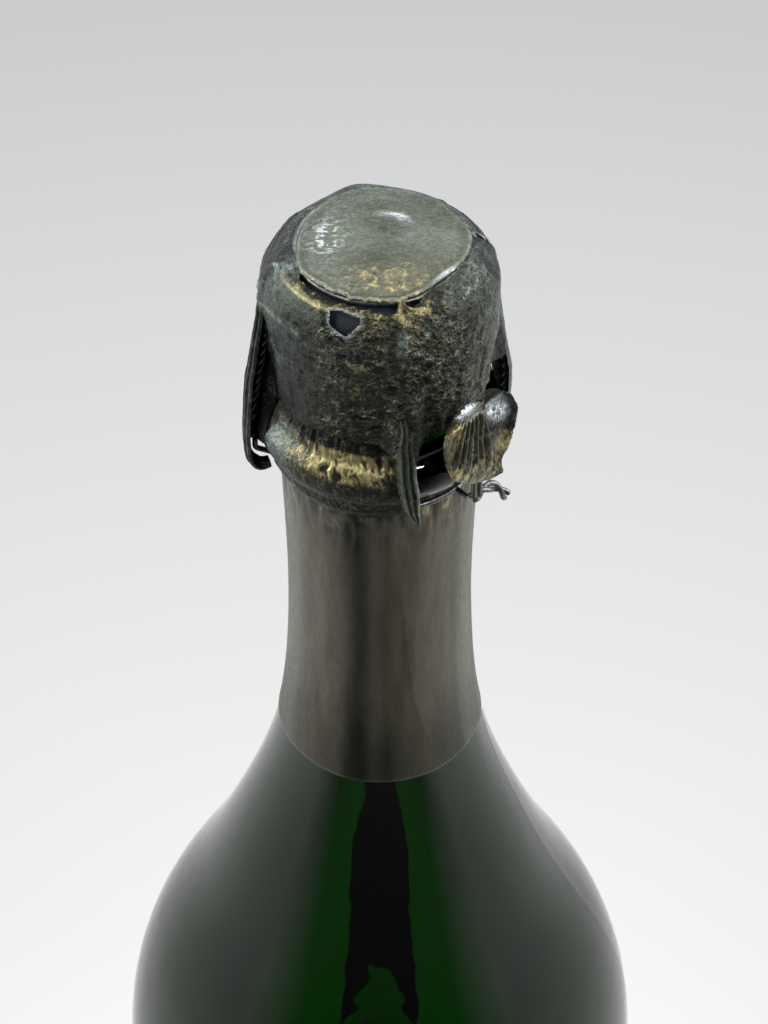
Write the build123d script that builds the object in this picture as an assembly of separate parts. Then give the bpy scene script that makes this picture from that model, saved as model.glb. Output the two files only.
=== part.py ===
from build123d import *
import os
from math import cos, radians, sin, sqrt

# A sealed champagne bottle, in millimetres. The origin is on the bottle's axis at the plane
# that it stands on, with +Z up. The front is -Y. An azimuth is counted in degrees from the
# front towards +X, so 90 is the bottle's right side as seen from the front.

# Glass body
bottle_height = 300.0
body_radius = 44.2
body_wall = 5.2
heel_radius = 6.2
bearing_width = 4.0
punt_depth = 33.0
punt_wall = 7.5
floor_wall = 7.0
floor_corner_radius = 4.0
floor_flat = 0.6
shoulder_start = 118.0
waist_drop = 45.0
waist_radius = 13.4
waist_wall = 4.2
bore_radius = 8.75
bore_length = 38.0
shoulder_height_shares = (0.12, 0.23, 0.34, 0.45, 0.56, 0.67, 0.78, 0.89)
shoulder_radius_shares = (0.990, 0.942, 0.792, 0.552, 0.346, 0.175, 0.062, 0.014)
punt_radius_shares = (0.88, 0.52)
punt_height_shares = (0.28, 0.75)
neck_rise_share = 0.55
neck_swell_share = 0.62

# Glass finish: the ring under the lip, the groove and the crown bead
ring_drop = 13.0
ring_radius = 17.2
ring_section = 4.3
neck_top_radius = 14.0
groove_radius = 13.1
groove_width = 1.6
bead_radius = 14.3
bead_depth = 6.0
bead_chamfer = 1.0
lip_round = 2.1
lip_round_share = 0.7

# Wine
wine_gap = 0.1
ullage = 16.0

# Cork
cork_clearance = 0.08
cork_in_neck = 31.0
cork_disc_thickness = 6.0
cork_head_radius = 14.7
cork_head_height = 15.55
cork_seat_gap = 0.35
cork_flare_height = 4.6
cork_flare_radius_share = 0.65
cork_flare_height_share = 0.22
cork_head_belly = 7.6
cork_brow_height = 12.2
cork_brow_radius = 14.55
cork_edge_radius = 13.7
cork_edge_height = 14.3
cork_top_radius = 12.1

# Lacquered cap plate on the cork
plate_gap = 0.1
plate_thickness = 0.35
plate_radius = 13.9
plate_flat_radius = 12.2
plate_rim_drop = 1.3
plate_boss_radius = 10.3
plate_boss_foot_radius = 10.7
plate_boss_height = 1.6

# Wire cage
leg_azimuths = {"front": 14.0, "right": 104.0, "back": 194.0, "left": 284.0}
leg_wire_radius = 0.5
thin_wire_radius = 0.45
ring_wire_radius = 0.5
top_ring_radius = 11.35
top_ring_lift = 0.75
leg_brow_radius = 14.57
leg_brow_drop = 1.0
leg_crest_radius = 12.6
leg_crest_lift = 0.52
leg_side_radius = 15.35
leg_side_top_drop = 4.3
leg_side_foot_drop = 8.3
leg_ring_radius = 18.05
leg_ring_rise = 4.5
leg_end_drop = 2.0
leg_bend_radius = 0.8
belt_radius = 14.95
belt_drop = 5.4
foot_wire_radius = 0.4
foot_knee_drop = 1.5
foot_bend_radius = 0.9

# Key of the cage: the wire eye folded up against the ring, and the twisted tail beside it
key_azimuth = 45.0
key_plane_radius = 18.9
key_root_drop = 3.8
key_shank_half_gap = 0.55
key_shank_length = 3.2
key_eye_half_width = 4.9
key_eye_length = 16.3
key_eye_low_share = 0.44
key_eye_high_share = 0.81
key_eye_top_share = 0.45
key_bend_radius = 0.8
lead_radius = 17.3
tail_wire_radius = 0.7
tail_start_radius = 18.15
tail_bend_azimuth = 62.0
tail_end_azimuth = 66.5
tail_end_radius = 19.4
tail_start_drop = 5.1
tail_bend_drop = 6.1
tail_end_drop = 8.6
tail_bend_radius = 1.0

# Foil: thin metal skin over head, ring and neck
foil_thickness = 0.25
foil_gap = 0.05
neck_foil_skirt = 32.1
neck_foil_top_gap = 4.4
hood_radius = 16.3
hood_top_gap = 0.05
hood_disc_radius = 11.9
hood_shoulder_radius = 5.0
hood_shoulder_angle = 78.0
hood_shoulder_drop = 5.35
hood_side_drop = 9.35
hood_side_radius = 16.2
hood_foot_radius = 15.2
hood_foot_drop = 5.2
hood_slot_half_width = 1.0
hood_slot_top_drop = 9.2
tear_azimuth = -17.5
tear_tilt = 45.0
tear_half_width = 2.3
tear_half_height = 1.8
tear_depth = 1.0
tear_width_shares = (-1.0, -0.75, 0.9, 1.0, 0.3, -0.5)
tear_height_shares = (0.55, 1.0, 0.85, 0.4, -0.8, -1.0)
wrap_thickness = 0.35
wrap_lower_angle = -62.0
wrap_upper_angle = 58.0
wrap_lip_gap = 0.1
wrap_leg_margin = 7.0
strip_thickness = 0.3
strip_wide_radius = 1.35
strip_narrow_radius = 0.72
strip_top_rise = 16.5
strip_foot_drops = {"front": 4.8, "right": 3.0, "back": 3.0, "left": 4.0}
leaf_thickness = 0.35
leaf_apex_gap = 1.15
leaf_curve_radius = 14.0
leaf_half_width = 6.4
leaf_width_shares = (-0.81, -0.2, 0.56, 0.84, 1.0, 0.75, 0.16, -0.31, -0.9, -0.95)
leaf_height_shares = (0.15, 0.07, 0.11, 0.36, 0.76, 1.0, 0.93, 0.8, 0.67, 0.38)

# Paper labels
label_thickness = 0.2
label_gap = 0.1
front_label_half_angle = 52.0
front_label_bottom = 26.0
front_label_height = 84.0
back_label_half_angle = 34.0
back_label_bottom = 34.0
back_label_height = 62.0

# Angles and the overrun that every cut shares
overrun = 10.0
full_turn = 360.0
half_turn = 180.0
quarter_turn = 90.0

# Heights and radii that follow from the sizes above
ring_height = bottle_height - ring_drop
waist_height = bottle_height - waist_drop
ring_core_radius = ring_radius - ring_section
neck_top_height = ring_height - sqrt(ring_section**2 - (neck_top_radius - ring_core_radius) ** 2)
groove_foot_height = ring_height + sqrt(ring_section**2 - (groove_radius - ring_core_radius) ** 2)
inner_body_radius = body_radius - body_wall
waist_bore_radius = waist_radius - waist_wall
bearing_outer_radius = body_radius - heel_radius
bearing_inner_radius = bearing_outer_radius - bearing_width
cork_radius = bore_radius - cork_clearance
cork_foot = bottle_height - cork_in_neck
cork_top = bottle_height + cork_head_height
plate_seat = cork_top + plate_gap
plate_flat = plate_seat + plate_thickness
plate_top = plate_flat + plate_boss_height
hood_top = plate_top + hood_top_gap + foil_thickness
key_root_height = ring_height - key_root_drop


def at_azimuth(azimuth, shape):
    """Turn a shape that was drawn on the +X side round the axis to its azimuth."""
    return Rot(0, 0, azimuth - quarter_turn) * shape


def turned(edges, arc=full_turn):
    """Solid of revolution from edges drawn as (radius, height)."""
    return revolve(Plane.XZ * make_face(edges), Axis.Z, arc)


def turned_polygon(points, arc=full_turn):
    """Solid of revolution from corner points given as (radius, height)."""
    return turned([Polyline(*points, close=True)], arc)


def tube(path, radius):
    """Round wire of one radius along a path."""
    return sweep(Plane(origin=path @ 0, z_dir=path % 0) * Circle(radius), path=path)


def slab(low, high):
    """Broad disc between two heights, to keep one stretch of the bottle."""
    thickness = high - low
    return Pos(0, 0, low + thickness / 2) * Cylinder(body_radius + overrun, thickness)


def shoulder_curve(lower_radius, upper_radius):
    """Outline from the straight body up to the waist of the neck."""
    rise = waist_height - shoulder_start
    spread = lower_radius - upper_radius
    shares = zip(shoulder_height_shares, shoulder_radius_shares)
    middle = [(upper_radius + out * spread, shoulder_start + up * rise) for up, out in shares]
    ends = (lower_radius, shoulder_start), (upper_radius, waist_height)
    return Spline(ends[0], *middle, ends[1], tangents=((0, 1), (0, 1)))


def neck_curve(growth):
    """Outline from the waist up to the ring, swelling slightly."""
    rise = neck_top_height - waist_height
    swell = neck_top_radius - waist_radius
    middle = (
        waist_radius + neck_swell_share * swell + growth,
        waist_height + neck_rise_share * rise,
    )
    low = (waist_radius + growth, waist_height)
    high = (neck_top_radius + growth, neck_top_height)
    return Spline(low, middle, high, tangents=((0, 1), (0, 1)))


def punt_curve(radius, height, foot):
    """Outline of the pushed-up base, from its apex on the axis to its foot."""
    rise = height - foot
    shares = zip(punt_radius_shares, punt_height_shares)
    middle = [(out * radius, foot + up * rise) for out, up in shares]
    return Spline((0, height), *reversed(middle), (radius, foot), tangents=((1, 0), (0, -1)))


def rounded_corner(start, radius):
    """Quarter circle from a flat floor, turning up into an upright wall."""
    return CenterArc((start[0], start[1] + radius), radius, -quarter_turn, quarter_turn)


def finish_curve():
    """Ring, groove, crown bead and lip, from the neck's top to the bore's mouth."""
    bead_foot = bottle_height - bead_depth
    lip_radius = bead_radius - lip_round
    lip_side = bottle_height - lip_round
    lip_middle = (
        lip_radius + lip_round_share * lip_round,
        lip_side + lip_round_share * lip_round,
    )
    return [
        ThreePointArc(
            (neck_top_radius, neck_top_height),
            (ring_radius, ring_height),
            (groove_radius, groove_foot_height),
        ),
        Polyline(
            (groove_radius, groove_foot_height),
            (groove_radius, groove_foot_height + groove_width),
            (bead_radius, bead_foot + bead_chamfer),
            (bead_radius, lip_side),
        ),
        ThreePointArc((bead_radius, lip_side), lip_middle, (lip_radius, bottle_height)),
    ]


def cavity(gap, top):
    """Space inside the glass, drawn in from its wall by a gap."""
    floor = floor_wall + gap
    side = inner_body_radius - gap
    corner = floor_wall + floor_corner_radius
    corner_start = inner_body_radius - floor_corner_radius
    foot_radius = corner_start - floor_flat + gap
    return turned(
        [
            punt_curve(foot_radius, punt_depth + punt_wall + gap, floor),
            Line((foot_radius, floor), (corner_start, floor)),
            rounded_corner((corner_start, floor), floor_corner_radius - gap),
            Line((side, corner), (side, shoulder_start)),
            shoulder_curve(side, waist_bore_radius - gap),
            Polyline(
                (waist_bore_radius - gap, waist_height),
                (bore_radius - gap, bottle_height - bore_length),
                (bore_radius - gap, top),
                (0, top),
                (0, punt_depth + punt_wall + gap),
            ),
        ]
    )


def bottle_glass():
    """Blown bottle: punt, heel, body, shoulder, neck, ring and crown bead in one piece."""
    lip_radius = bead_radius - lip_round
    outside = turned(
        [
            punt_curve(bearing_inner_radius, punt_depth, 0),
            Line((bearing_inner_radius, 0), (bearing_outer_radius, 0)),
            rounded_corner((bearing_outer_radius, 0), heel_radius),
            Line((body_radius, heel_radius), (body_radius, shoulder_start)),
            shoulder_curve(body_radius, waist_radius),
            neck_curve(0),
            *finish_curve(),
            Polyline((lip_radius, bottle_height), (0, bottle_height), (0, punt_depth)),
        ]
    )
    return outside - cavity(0, bottle_height + overrun)


def wine_fill():
    """The wine, up to the air space left under the cork."""
    level = cork_foot - ullage
    return cavity(wine_gap, bottle_height) & slab(-overrun, level)


def neck_solid(growth):
    """Neck and shoulder as a solid, grown outwards."""
    return turned(
        [
            shoulder_curve(body_radius + growth, waist_radius + growth),
            neck_curve(growth),
            Polyline(
                (neck_top_radius + growth, neck_top_height),
                (0, neck_top_height),
                (0, shoulder_start),
                (body_radius + growth, shoulder_start),
            ),
        ]
    )


def neck_foil():
    """Foil sleeve from just under the ring down to the shoulder."""
    skin = neck_solid(foil_gap + foil_thickness) - neck_solid(foil_gap)
    return skin & slab(waist_height - neck_foil_skirt, ring_height - neck_foil_top_gap)


def ring_point(section, angle):
    """Point at an angle on the ring's round section, or on a foil over it."""
    return (
        ring_core_radius + section * cos(radians(angle)),
        ring_height + section * sin(radians(angle)),
    )


def ring_wrap(start, end):
    """Foil left stuck over the ring between two azimuths, drawn in under it."""
    inner = ring_section + foil_gap
    outer = inner + wrap_thickness
    lip_height = bottle_height - bead_depth
    lip_inner = bead_radius + wrap_lip_gap
    middle = (wrap_lower_angle + wrap_upper_angle) / 2
    band = [
        ThreePointArc(*[ring_point(outer, a) for a in (wrap_lower_angle, middle, wrap_upper_angle)]),
        Polyline(
            ring_point(outer, wrap_upper_angle),
            (lip_inner + wrap_thickness, lip_height),
            (lip_inner, lip_height),
            ring_point(inner, wrap_upper_angle),
        ),
        ThreePointArc(*[ring_point(inner, a) for a in (wrap_upper_angle, middle, wrap_lower_angle)]),
        Line(ring_point(inner, wrap_lower_angle), ring_point(outer, wrap_lower_angle)),
    ]
    return at_azimuth(start, turned(band, end - start))


def cork_disc(foot):
    """One natural cork disc at the foot of the stopper."""
    return Pos(0, 0, foot + cork_disc_thickness / 2) * Cylinder(cork_radius, cork_disc_thickness)


def cork_body():
    """Agglomerate cork: straight in the bore, mushroom head above the lip."""
    foot = cork_foot + 2 * cork_disc_thickness
    seat = bottle_height + cork_seat_gap
    flare = (
        cork_radius + cork_flare_radius_share * (cork_head_radius - cork_radius),
        seat + cork_flare_height_share * cork_flare_height,
    )
    flare_top = (cork_head_radius, seat + cork_flare_height)
    return turned(
        [
            Polyline((0, foot), (cork_radius, foot), (cork_radius, seat)),
            ThreePointArc((cork_radius, seat), flare, flare_top),
            Polyline(
                flare_top,
                (cork_head_radius, bottle_height + cork_head_belly),
                (cork_brow_radius, bottle_height + cork_brow_height),
                (cork_edge_radius, bottle_height + cork_edge_height),
                (cork_top_radius, cork_top),
                (0, cork_top),
                (0, foot),
            ),
        ]
    )


def cap_plate():
    """Pressed plate on the cork: raised boss, flat land for the cage's ring, sloping rim."""
    upper = [
        (0, plate_top),
        (plate_boss_radius, plate_top),
        (plate_boss_foot_radius, plate_flat),
        (plate_flat_radius, plate_flat),
        (plate_radius, plate_flat - plate_rim_drop),
    ]
    lower = [
        (plate_radius, plate_seat - plate_rim_drop),
        (plate_flat_radius, plate_seat),
        (plate_boss_foot_radius - plate_thickness, plate_seat),
        (plate_boss_radius - plate_thickness, plate_top - plate_thickness),
        (0, plate_top - plate_thickness),
    ]
    return turned_polygon(upper + lower)


def cage_top_ring():
    """Wire ring round the plate's boss."""
    return Pos(0, 0, plate_flat + top_ring_lift) * Torus(top_ring_radius, ring_wire_radius)


def leg_side_foot():
    """Where a leg leaves the cork head and runs straight to the ring."""
    return Vector(leg_side_radius, 0, plate_flat - leg_side_foot_drop)


def leg_knee():
    """Where a leg turns down past the ring."""
    return Vector(leg_ring_radius, 0, ring_height + leg_ring_rise)


def leg_end():
    """Foot of the leg's own wire, beside the ring."""
    return Vector(leg_ring_radius, 0, ring_height - leg_end_drop)


def cage_leg(azimuth):
    """One leg: from the top ring over the plate's rim, down the cork head, out past the ring."""
    path = FilletPolyline(
        (top_ring_radius, 0, plate_flat + top_ring_lift),
        (leg_crest_radius, 0, plate_flat + leg_crest_lift),
        (leg_brow_radius, 0, plate_flat - leg_brow_drop),
        (leg_side_radius, 0, plate_flat - leg_side_top_drop),
        leg_side_foot(),
        leg_knee(),
        leg_end(),
        radius=leg_bend_radius,
    )
    return at_azimuth(azimuth, tube(path, leg_wire_radius))


def cage_belt():
    """Belt wire under the ring, with a foot loop up to each leg and a lead out to the tail."""
    height = ring_height - belt_drop
    belt = Pos(0, 0, height) * Torus(belt_radius, thin_wire_radius)
    knee = leg_end() - Vector(0, 0, foot_knee_drop)
    path = FilletPolyline(leg_end(), knee, (belt_radius, 0, height), radius=foot_bend_radius)
    feet = [at_azimuth(azimuth, tube(path, foot_wire_radius)) for azimuth in leg_azimuths.values()]
    lead = tube(Line((belt_radius, 0, height), (lead_radius, 0, height)), foot_wire_radius)
    return belt + [*feet, at_azimuth(key_azimuth, lead)]


def polar(azimuth, radius, height):
    """Point at an azimuth, a radius and a height."""
    angle = radians(azimuth - quarter_turn)
    return (radius * cos(angle), radius * sin(angle), height)


def twist_tail():
    """Twisted ends of the belt wire, lying under the ring and bent out at the tip."""
    middle_azimuth = (key_azimuth + tail_bend_azimuth) / 2
    middle_drop = (tail_start_drop + tail_bend_drop) / 2
    path = FilletPolyline(
        polar(key_azimuth, tail_start_radius, ring_height - tail_start_drop),
        polar(middle_azimuth, tail_start_radius, ring_height - middle_drop),
        polar(tail_bend_azimuth, tail_start_radius, ring_height - tail_bend_drop),
        polar(tail_end_azimuth, tail_end_radius, ring_height - tail_end_drop),
        radius=tail_bend_radius,
    )
    return tube(path, tail_wire_radius)


def key_loop():
    """Wire eye that is turned to undo the cage, folded up flat against the ring."""
    low = key_eye_low_share * key_eye_length
    high = key_eye_high_share * key_eye_length
    crown = key_eye_top_share * key_eye_half_width
    half = [
        (key_shank_half_gap, 0),
        (key_shank_half_gap, key_shank_length),
        (key_eye_half_width, low),
        (key_eye_half_width, high),
        (crown, key_eye_length),
    ]
    mirrored = [(-across, up) for across, up in reversed(half)]
    points = [(key_plane_radius, across, key_root_height + up) for across, up in half + mirrored]
    path = FilletPolyline(*points, radius=key_bend_radius)
    return at_azimuth(key_azimuth, tube(path, thin_wire_radius))


def key_foil():
    """Crumpled leaf of foil over the key, bowed round it."""
    apex = key_plane_radius + thin_wire_radius + leaf_apex_gap
    shares = zip(leaf_width_shares, leaf_height_shares)
    points = [(across * leaf_half_width, up * key_eye_length) for across, up in shares]
    plane = Plane(origin=(ring_radius, 0, key_root_height), x_dir=(0, 1, 0), z_dir=(1, 0, 0))
    outline = extrude(plane * make_face([Spline(*points, periodic=True)]), overrun)
    height = key_eye_length + 2 * overrun
    outer = Cylinder(leaf_curve_radius + leaf_thickness, height)
    shell = outer - Cylinder(leaf_curve_radius, height)
    placed = Pos(apex - leaf_curve_radius, 0, key_root_height + key_eye_length / 2) * shell
    return at_azimuth(key_azimuth, placed & outline)


def leg_strip(azimuth, hollow_radius, foot_drop):
    """Arched foil strip over the outside of one leg."""
    top_height = ring_height + strip_top_rise
    upper, lower = leg_side_foot(), leg_knee()
    share = (top_height - lower.Z) / (upper.Z - lower.Z)
    top_radius = lower.X + share * (upper.X - lower.X)
    foot_height = ring_height - foot_drop
    path = FilletPolyline(
        (top_radius, 0, top_height), lower, (lower.X, 0, foot_height), radius=leg_bend_radius
    )
    along = path % 0
    section_plane = Plane(origin=path @ 0, x_dir=(-along.Z, 0, along.X), z_dir=along)
    outer = hollow_radius + strip_thickness
    arch = make_face(
        [
            CenterArc((0, 0), outer, -quarter_turn, half_turn),
            Line((0, outer), (0, hollow_radius)),
            CenterArc((0, 0), hollow_radius, -quarter_turn, half_turn),
            Line((0, -hollow_radius), (0, -outer)),
        ]
    )
    return at_azimuth(azimuth, sweep(section_plane * arch, path=path))


def hood_solid(inset):
    """Outer form of the foil hood, drawn in by an inset and run past its foot."""
    section = hood_shoulder_radius - inset
    centre = (hood_radius - hood_shoulder_radius, hood_top - hood_shoulder_drop)
    angle = radians(hood_shoulder_angle)
    brow = (centre[0] + section * cos(angle), centre[1] + section * sin(angle))
    side = (hood_side_radius - inset, hood_top - hood_side_drop)
    foot_radius = hood_foot_radius - inset
    foot = bottle_height - hood_foot_drop
    return turned(
        [
            Polyline((0, hood_top - inset), (hood_disc_radius - inset / 2, hood_top - inset), brow),
            CenterArc(centre, section, 0, hood_shoulder_angle),
            Polyline(
                (centre[0] + section, centre[1]),
                side,
                (foot_radius, foot),
                (foot_radius, foot - overrun),
                (0, foot - overrun),
                (0, hood_top - inset),
            ),
        ]
    )


def tear():
    """Prism through the hood's shoulder, for the five-sided tear in the foil."""
    reach = hood_radius - hood_shoulder_radius + hood_shoulder_radius * cos(radians(tear_tilt))
    rise = hood_top - hood_shoulder_drop + hood_shoulder_radius * sin(radians(tear_tilt))
    outward = (cos(radians(tear_tilt)), 0, sin(radians(tear_tilt)))
    plane = Plane(origin=(reach, 0, rise), x_dir=(0, 1, 0), z_dir=outward)
    shares = zip(tear_width_shares, tear_height_shares)
    points = [(across * tear_half_width, up * tear_half_height) for across, up in shares]
    face = plane * make_face([Polyline(*points, close=True)])
    return at_azimuth(tear_azimuth, extrude(face, tear_depth, both=True))


def foil_hood():
    """Foil over plate, cage and cork head, slit where the legs come out of it."""
    foot = bottle_height - hood_foot_drop
    hood = (hood_solid(0) - hood_solid(foil_thickness)) & slab(foot, hood_top + overrun)
    slot_height = hood_top - hood_slot_top_drop - foot + overrun
    slot_centre = (hood_radius, 0, foot - overrun + slot_height / 2)
    slot = Pos(*slot_centre) * Box(hood_radius, 2 * hood_slot_half_width, slot_height)
    for azimuth in leg_azimuths.values():
        hood -= at_azimuth(azimuth, slot)
    return hood - tear()


def label(azimuth, half_angle, bottom, height):
    """Bare paper label wrapped round the body."""
    inner = body_radius + label_gap
    outer = inner + label_thickness
    sheet = turned_polygon(
        [(inner, bottom), (outer, bottom), (outer, bottom + height), (inner, bottom + height)],
        2 * half_angle,
    )
    return at_azimuth(azimuth - half_angle, sheet)


def wrap_between(first, last):
    """Ring wrap from one leg to the next one round."""
    start = leg_azimuths[first] + wrap_leg_margin
    end = leg_azimuths[last] - wrap_leg_margin
    return ring_wrap(start, end if end > start else end + full_turn)


def parts():
    """Every node of the bottle, by name."""
    nodes = {
        "bottle_glass": bottle_glass(),
        "wine_fill": wine_fill(),
        "neck_foil": neck_foil(),
        "ring_foil_front_left": wrap_between("left", "front"),
        "ring_foil_back_left": wrap_between("back", "left"),
        "ring_foil_back_right": wrap_between("right", "back"),
        "front_label": label(0, front_label_half_angle, front_label_bottom, front_label_height),
        "back_label": label(half_turn, back_label_half_angle, back_label_bottom, back_label_height),
        "cork_body": cork_body(),
        "cork_disc_upper": cork_disc(cork_foot + cork_disc_thickness),
        "cork_disc_lower": cork_disc(cork_foot),
        "cap_plate": cap_plate(),
        "cage_top_ring": cage_top_ring(),
        "cage_belt": cage_belt(),
        "twist_tail": twist_tail(),
        "key_loop": key_loop(),
        "key_foil": key_foil(),
        "foil_hood": foil_hood(),
    }
    hollow_radii = {
        "front": strip_wide_radius,
        "right": strip_narrow_radius,
        "back": strip_narrow_radius,
        "left": strip_wide_radius,
    }
    for side, azimuth in leg_azimuths.items():
        nodes["cage_leg_" + side] = cage_leg(azimuth)
        nodes["leg_foil_" + side] = leg_strip(azimuth, hollow_radii[side], strip_foot_drops[side])
    return nodes


os.makedirs("parts", exist_ok=True)
for name, shape in parts().items():
    export_step(shape, "parts/" + name + ".step")
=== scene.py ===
from math import cos, pi, radians, sin, tau

import bmesh
import bpy
import numpy as np
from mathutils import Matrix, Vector


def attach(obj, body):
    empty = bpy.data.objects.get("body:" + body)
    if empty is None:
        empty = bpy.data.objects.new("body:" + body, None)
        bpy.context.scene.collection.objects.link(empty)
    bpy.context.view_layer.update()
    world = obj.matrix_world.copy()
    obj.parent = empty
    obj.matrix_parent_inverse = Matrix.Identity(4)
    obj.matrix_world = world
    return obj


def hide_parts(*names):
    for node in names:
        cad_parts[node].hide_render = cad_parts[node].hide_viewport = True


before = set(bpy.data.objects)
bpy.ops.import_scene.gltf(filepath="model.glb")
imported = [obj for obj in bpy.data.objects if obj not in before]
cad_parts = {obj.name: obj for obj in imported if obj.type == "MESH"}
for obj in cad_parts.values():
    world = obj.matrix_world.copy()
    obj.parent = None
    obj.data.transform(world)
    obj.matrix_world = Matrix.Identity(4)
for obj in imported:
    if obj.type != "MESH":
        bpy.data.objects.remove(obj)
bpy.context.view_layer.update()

# A sealed champagne bottle with old foil. Lengths are in millimetres and turn to metres where a
# mesh is made. An azimuth is in degrees from the bottle's front (-Y) towards +X.
MM = 0.001

# Sizes and places that the CAD model uses too
RING_HEIGHT = 287.0
RING_CORE_RADIUS = 12.9
RING_SECTION = 4.3
HOOD_TOP = 317.9
LEG_AZIMUTHS = {"front": 14.0, "right": 104.0, "back": 194.0, "left": 284.0}
LEG_SIDE_RADIUS, LEG_SIDE_FOOT = 15.35, 307.7
LEG_RING_RADIUS, LEG_KNEE_HEIGHT = 18.05, 291.5
KEY_AZIMUTH = 45.0
# Foil is thinner here than in the CAD model; the strips' foil is the thicker
FOIL_SKIN, STRIP_SKIN = 0.12, 0.14


def linear(code):
    """sRGB hex colour as linear RGBA."""
    channels = [int(code[i : i + 2], 16) / 255 for i in (1, 3, 5)]
    return (*[c / 12.92 if c <= 0.04045 else ((c + 0.055) / 1.055) ** 2.4 for c in channels], 1)


# Noise on points in millimetres; its salt picks one pattern of many

def lattice_values(ix, iy, iz, salt):
    """Fixed pseudo-random value from -1 to 1 at each corner of a lattice."""
    mixed = (ix * 374761393 + iy * 668265263 + iz * 1440662683 + salt * 974634777) & 0xFFFFFFFF
    mixed = ((mixed ^ (mixed >> 13)) * 1274126177) & 0xFFFFFFFF
    return ((mixed ^ (mixed >> 16)) & 0xFFFF) / 32767.5 - 1


def smooth_noise(points, size, salt):
    """Smooth noise from -1 to 1 with bumps of one size."""
    scaled = points / size
    cell = np.floor(scaled).astype(np.int64)
    inside = scaled - cell
    blend = inside * inside * (3 - 2 * inside)
    total = np.zeros(points.shape[:-1])
    for dx in (0, 1):
        for dy in (0, 1):
            for dz in (0, 1):
                weight = 1.0
                for axis, step in enumerate((dx, dy, dz)):
                    share = blend[..., axis]
                    weight = weight * (share if step else 1 - share)
                total += weight * lattice_values(
                    cell[..., 0] + dx, cell[..., 1] + dy, cell[..., 2] + dz, salt
                )
    return total


def layered_noise(points, size, salt, layers=3):
    """Noise of several sizes, each half as large and half as strong as the last."""
    return sum(smooth_noise(points, size / 2**i, salt + i) / 2**i for i in range(layers))


def creased_noise(points, size, salt, layers=3):
    """Noise with sharp crests, as crumpled foil has, from about -1 to 1."""
    total = 0.0
    for i in range(layers):
        total = total + (1 - 2.6 * np.abs(smooth_noise(points, size / 2**i, salt + i))) / 2**i
    return total


def ease(value, low, high):
    """Smooth step from 0 at low to 1 at high; low may be the larger."""
    share = np.clip((value - low) / (high - low), 0, 1)
    return share * share * (3 - 2 * share)


def hump(value, centre, width):
    """Bell curve."""
    return np.exp(-(((value - centre) / width) ** 2))


def turn_from(azimuth, centre):
    """Signed angle from a centre azimuth, in degrees from -180 to 180."""
    return (azimuth - centre + 180) % 360 - 180


def near(azimuth, centre, width):
    """Bell curve round an azimuth, of a width in degrees."""
    return hump(turn_from(azimuth, centre), 0, width)


def arc_length(azimuth, centre, radius):
    """Length round the bottle from a centre azimuth, at a radius."""
    return turn_from(azimuth, centre) * radians(1) * radius


def ring_points(azimuth, radius, height):
    """Points from azimuths, radii and heights, of which any may be one number for all."""
    angle = np.radians(azimuth - 90)
    places = np.broadcast_arrays(radius * np.cos(angle), radius * np.sin(angle), height)
    return np.stack(places, axis=-1)


def outline_samples(corners, count):
    """Evenly spaced points and their outward normals along a (radius, height) outline."""
    corners = np.array(corners, float)
    runs = np.concatenate([[0], np.cumsum(np.hypot(*np.diff(corners, axis=0).T))])
    places = np.linspace(0, runs[-1], count)
    radius = np.interp(places, runs, corners[:, 0])
    height = np.interp(places, runs, corners[:, 1])
    for _ in range(2):
        radius[1:-1] = (radius[:-2] + 2 * radius[1:-1] + radius[2:]) / 4
        height[1:-1] = (height[:-2] + 2 * height[1:-1] + height[2:]) / 4
    slope_r, slope_z = np.gradient(radius), np.gradient(height)
    length = np.hypot(slope_r, slope_z)
    return places, radius, height, -slope_z / length, slope_r / length


# Meshes

def mesh_piece(name, points, faces, material, tints=None):
    """Object from points in millimetres and faces, with painted attributes, shaded smooth."""
    mesh = bpy.data.meshes.new(name)
    mesh.from_pydata((np.asarray(points) * MM).tolist(), [], faces)
    for label, values in (tints or {}).items():
        layer = mesh.attributes.new(label, "FLOAT", "POINT")
        layer.data.foreach_set("value", np.asarray(values, np.float32).ravel())
    mesh.shade_smooth()
    mesh.materials.append(material)
    piece = bpy.data.objects.new(name, mesh)
    bpy.context.collection.objects.link(piece)
    return piece


def grid_faces(rows, cols, closed, keep=None):
    """Quads of a grid of points; keep drops some of them."""
    across = cols if closed else cols - 1
    row, col = np.meshgrid(np.arange(rows - 1), np.arange(across), indexing="ij")
    after = (col + 1) % cols
    quads = np.stack(
        [row * cols + col, row * cols + after, (row + 1) * cols + after, (row + 1) * cols + col],
        axis=-1,
    )
    if keep is not None:
        quads = quads[keep]
    return quads.reshape(-1, 4)[:, ::-1].tolist()


def plain_mesh(piece):
    """Turn a piece with modifiers into a plain mesh object of the same name."""
    bpy.context.view_layer.update()
    graph = bpy.context.evaluated_depsgraph_get()
    mesh = bpy.data.meshes.new_from_object(
        piece.evaluated_get(graph), preserve_all_data_layers=True, depsgraph=graph
    )
    name = piece.name
    bpy.data.objects.remove(piece)
    mesh.name = name
    made = bpy.data.objects.new(name, mesh)
    bpy.context.collection.objects.link(made)
    return made


def drop_loose(piece):
    """Merge doubled points, as at a pole, and delete points that no face uses."""
    work = bmesh.new()
    work.from_mesh(piece.data)
    bmesh.ops.remove_doubles(work, verts=work.verts, dist=0.002 * MM)
    loose = [v for v in work.verts if not v.link_faces]
    bmesh.ops.delete(work, geom=loose, context="VERTS")
    work.to_mesh(piece.data)
    work.free()


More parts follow.
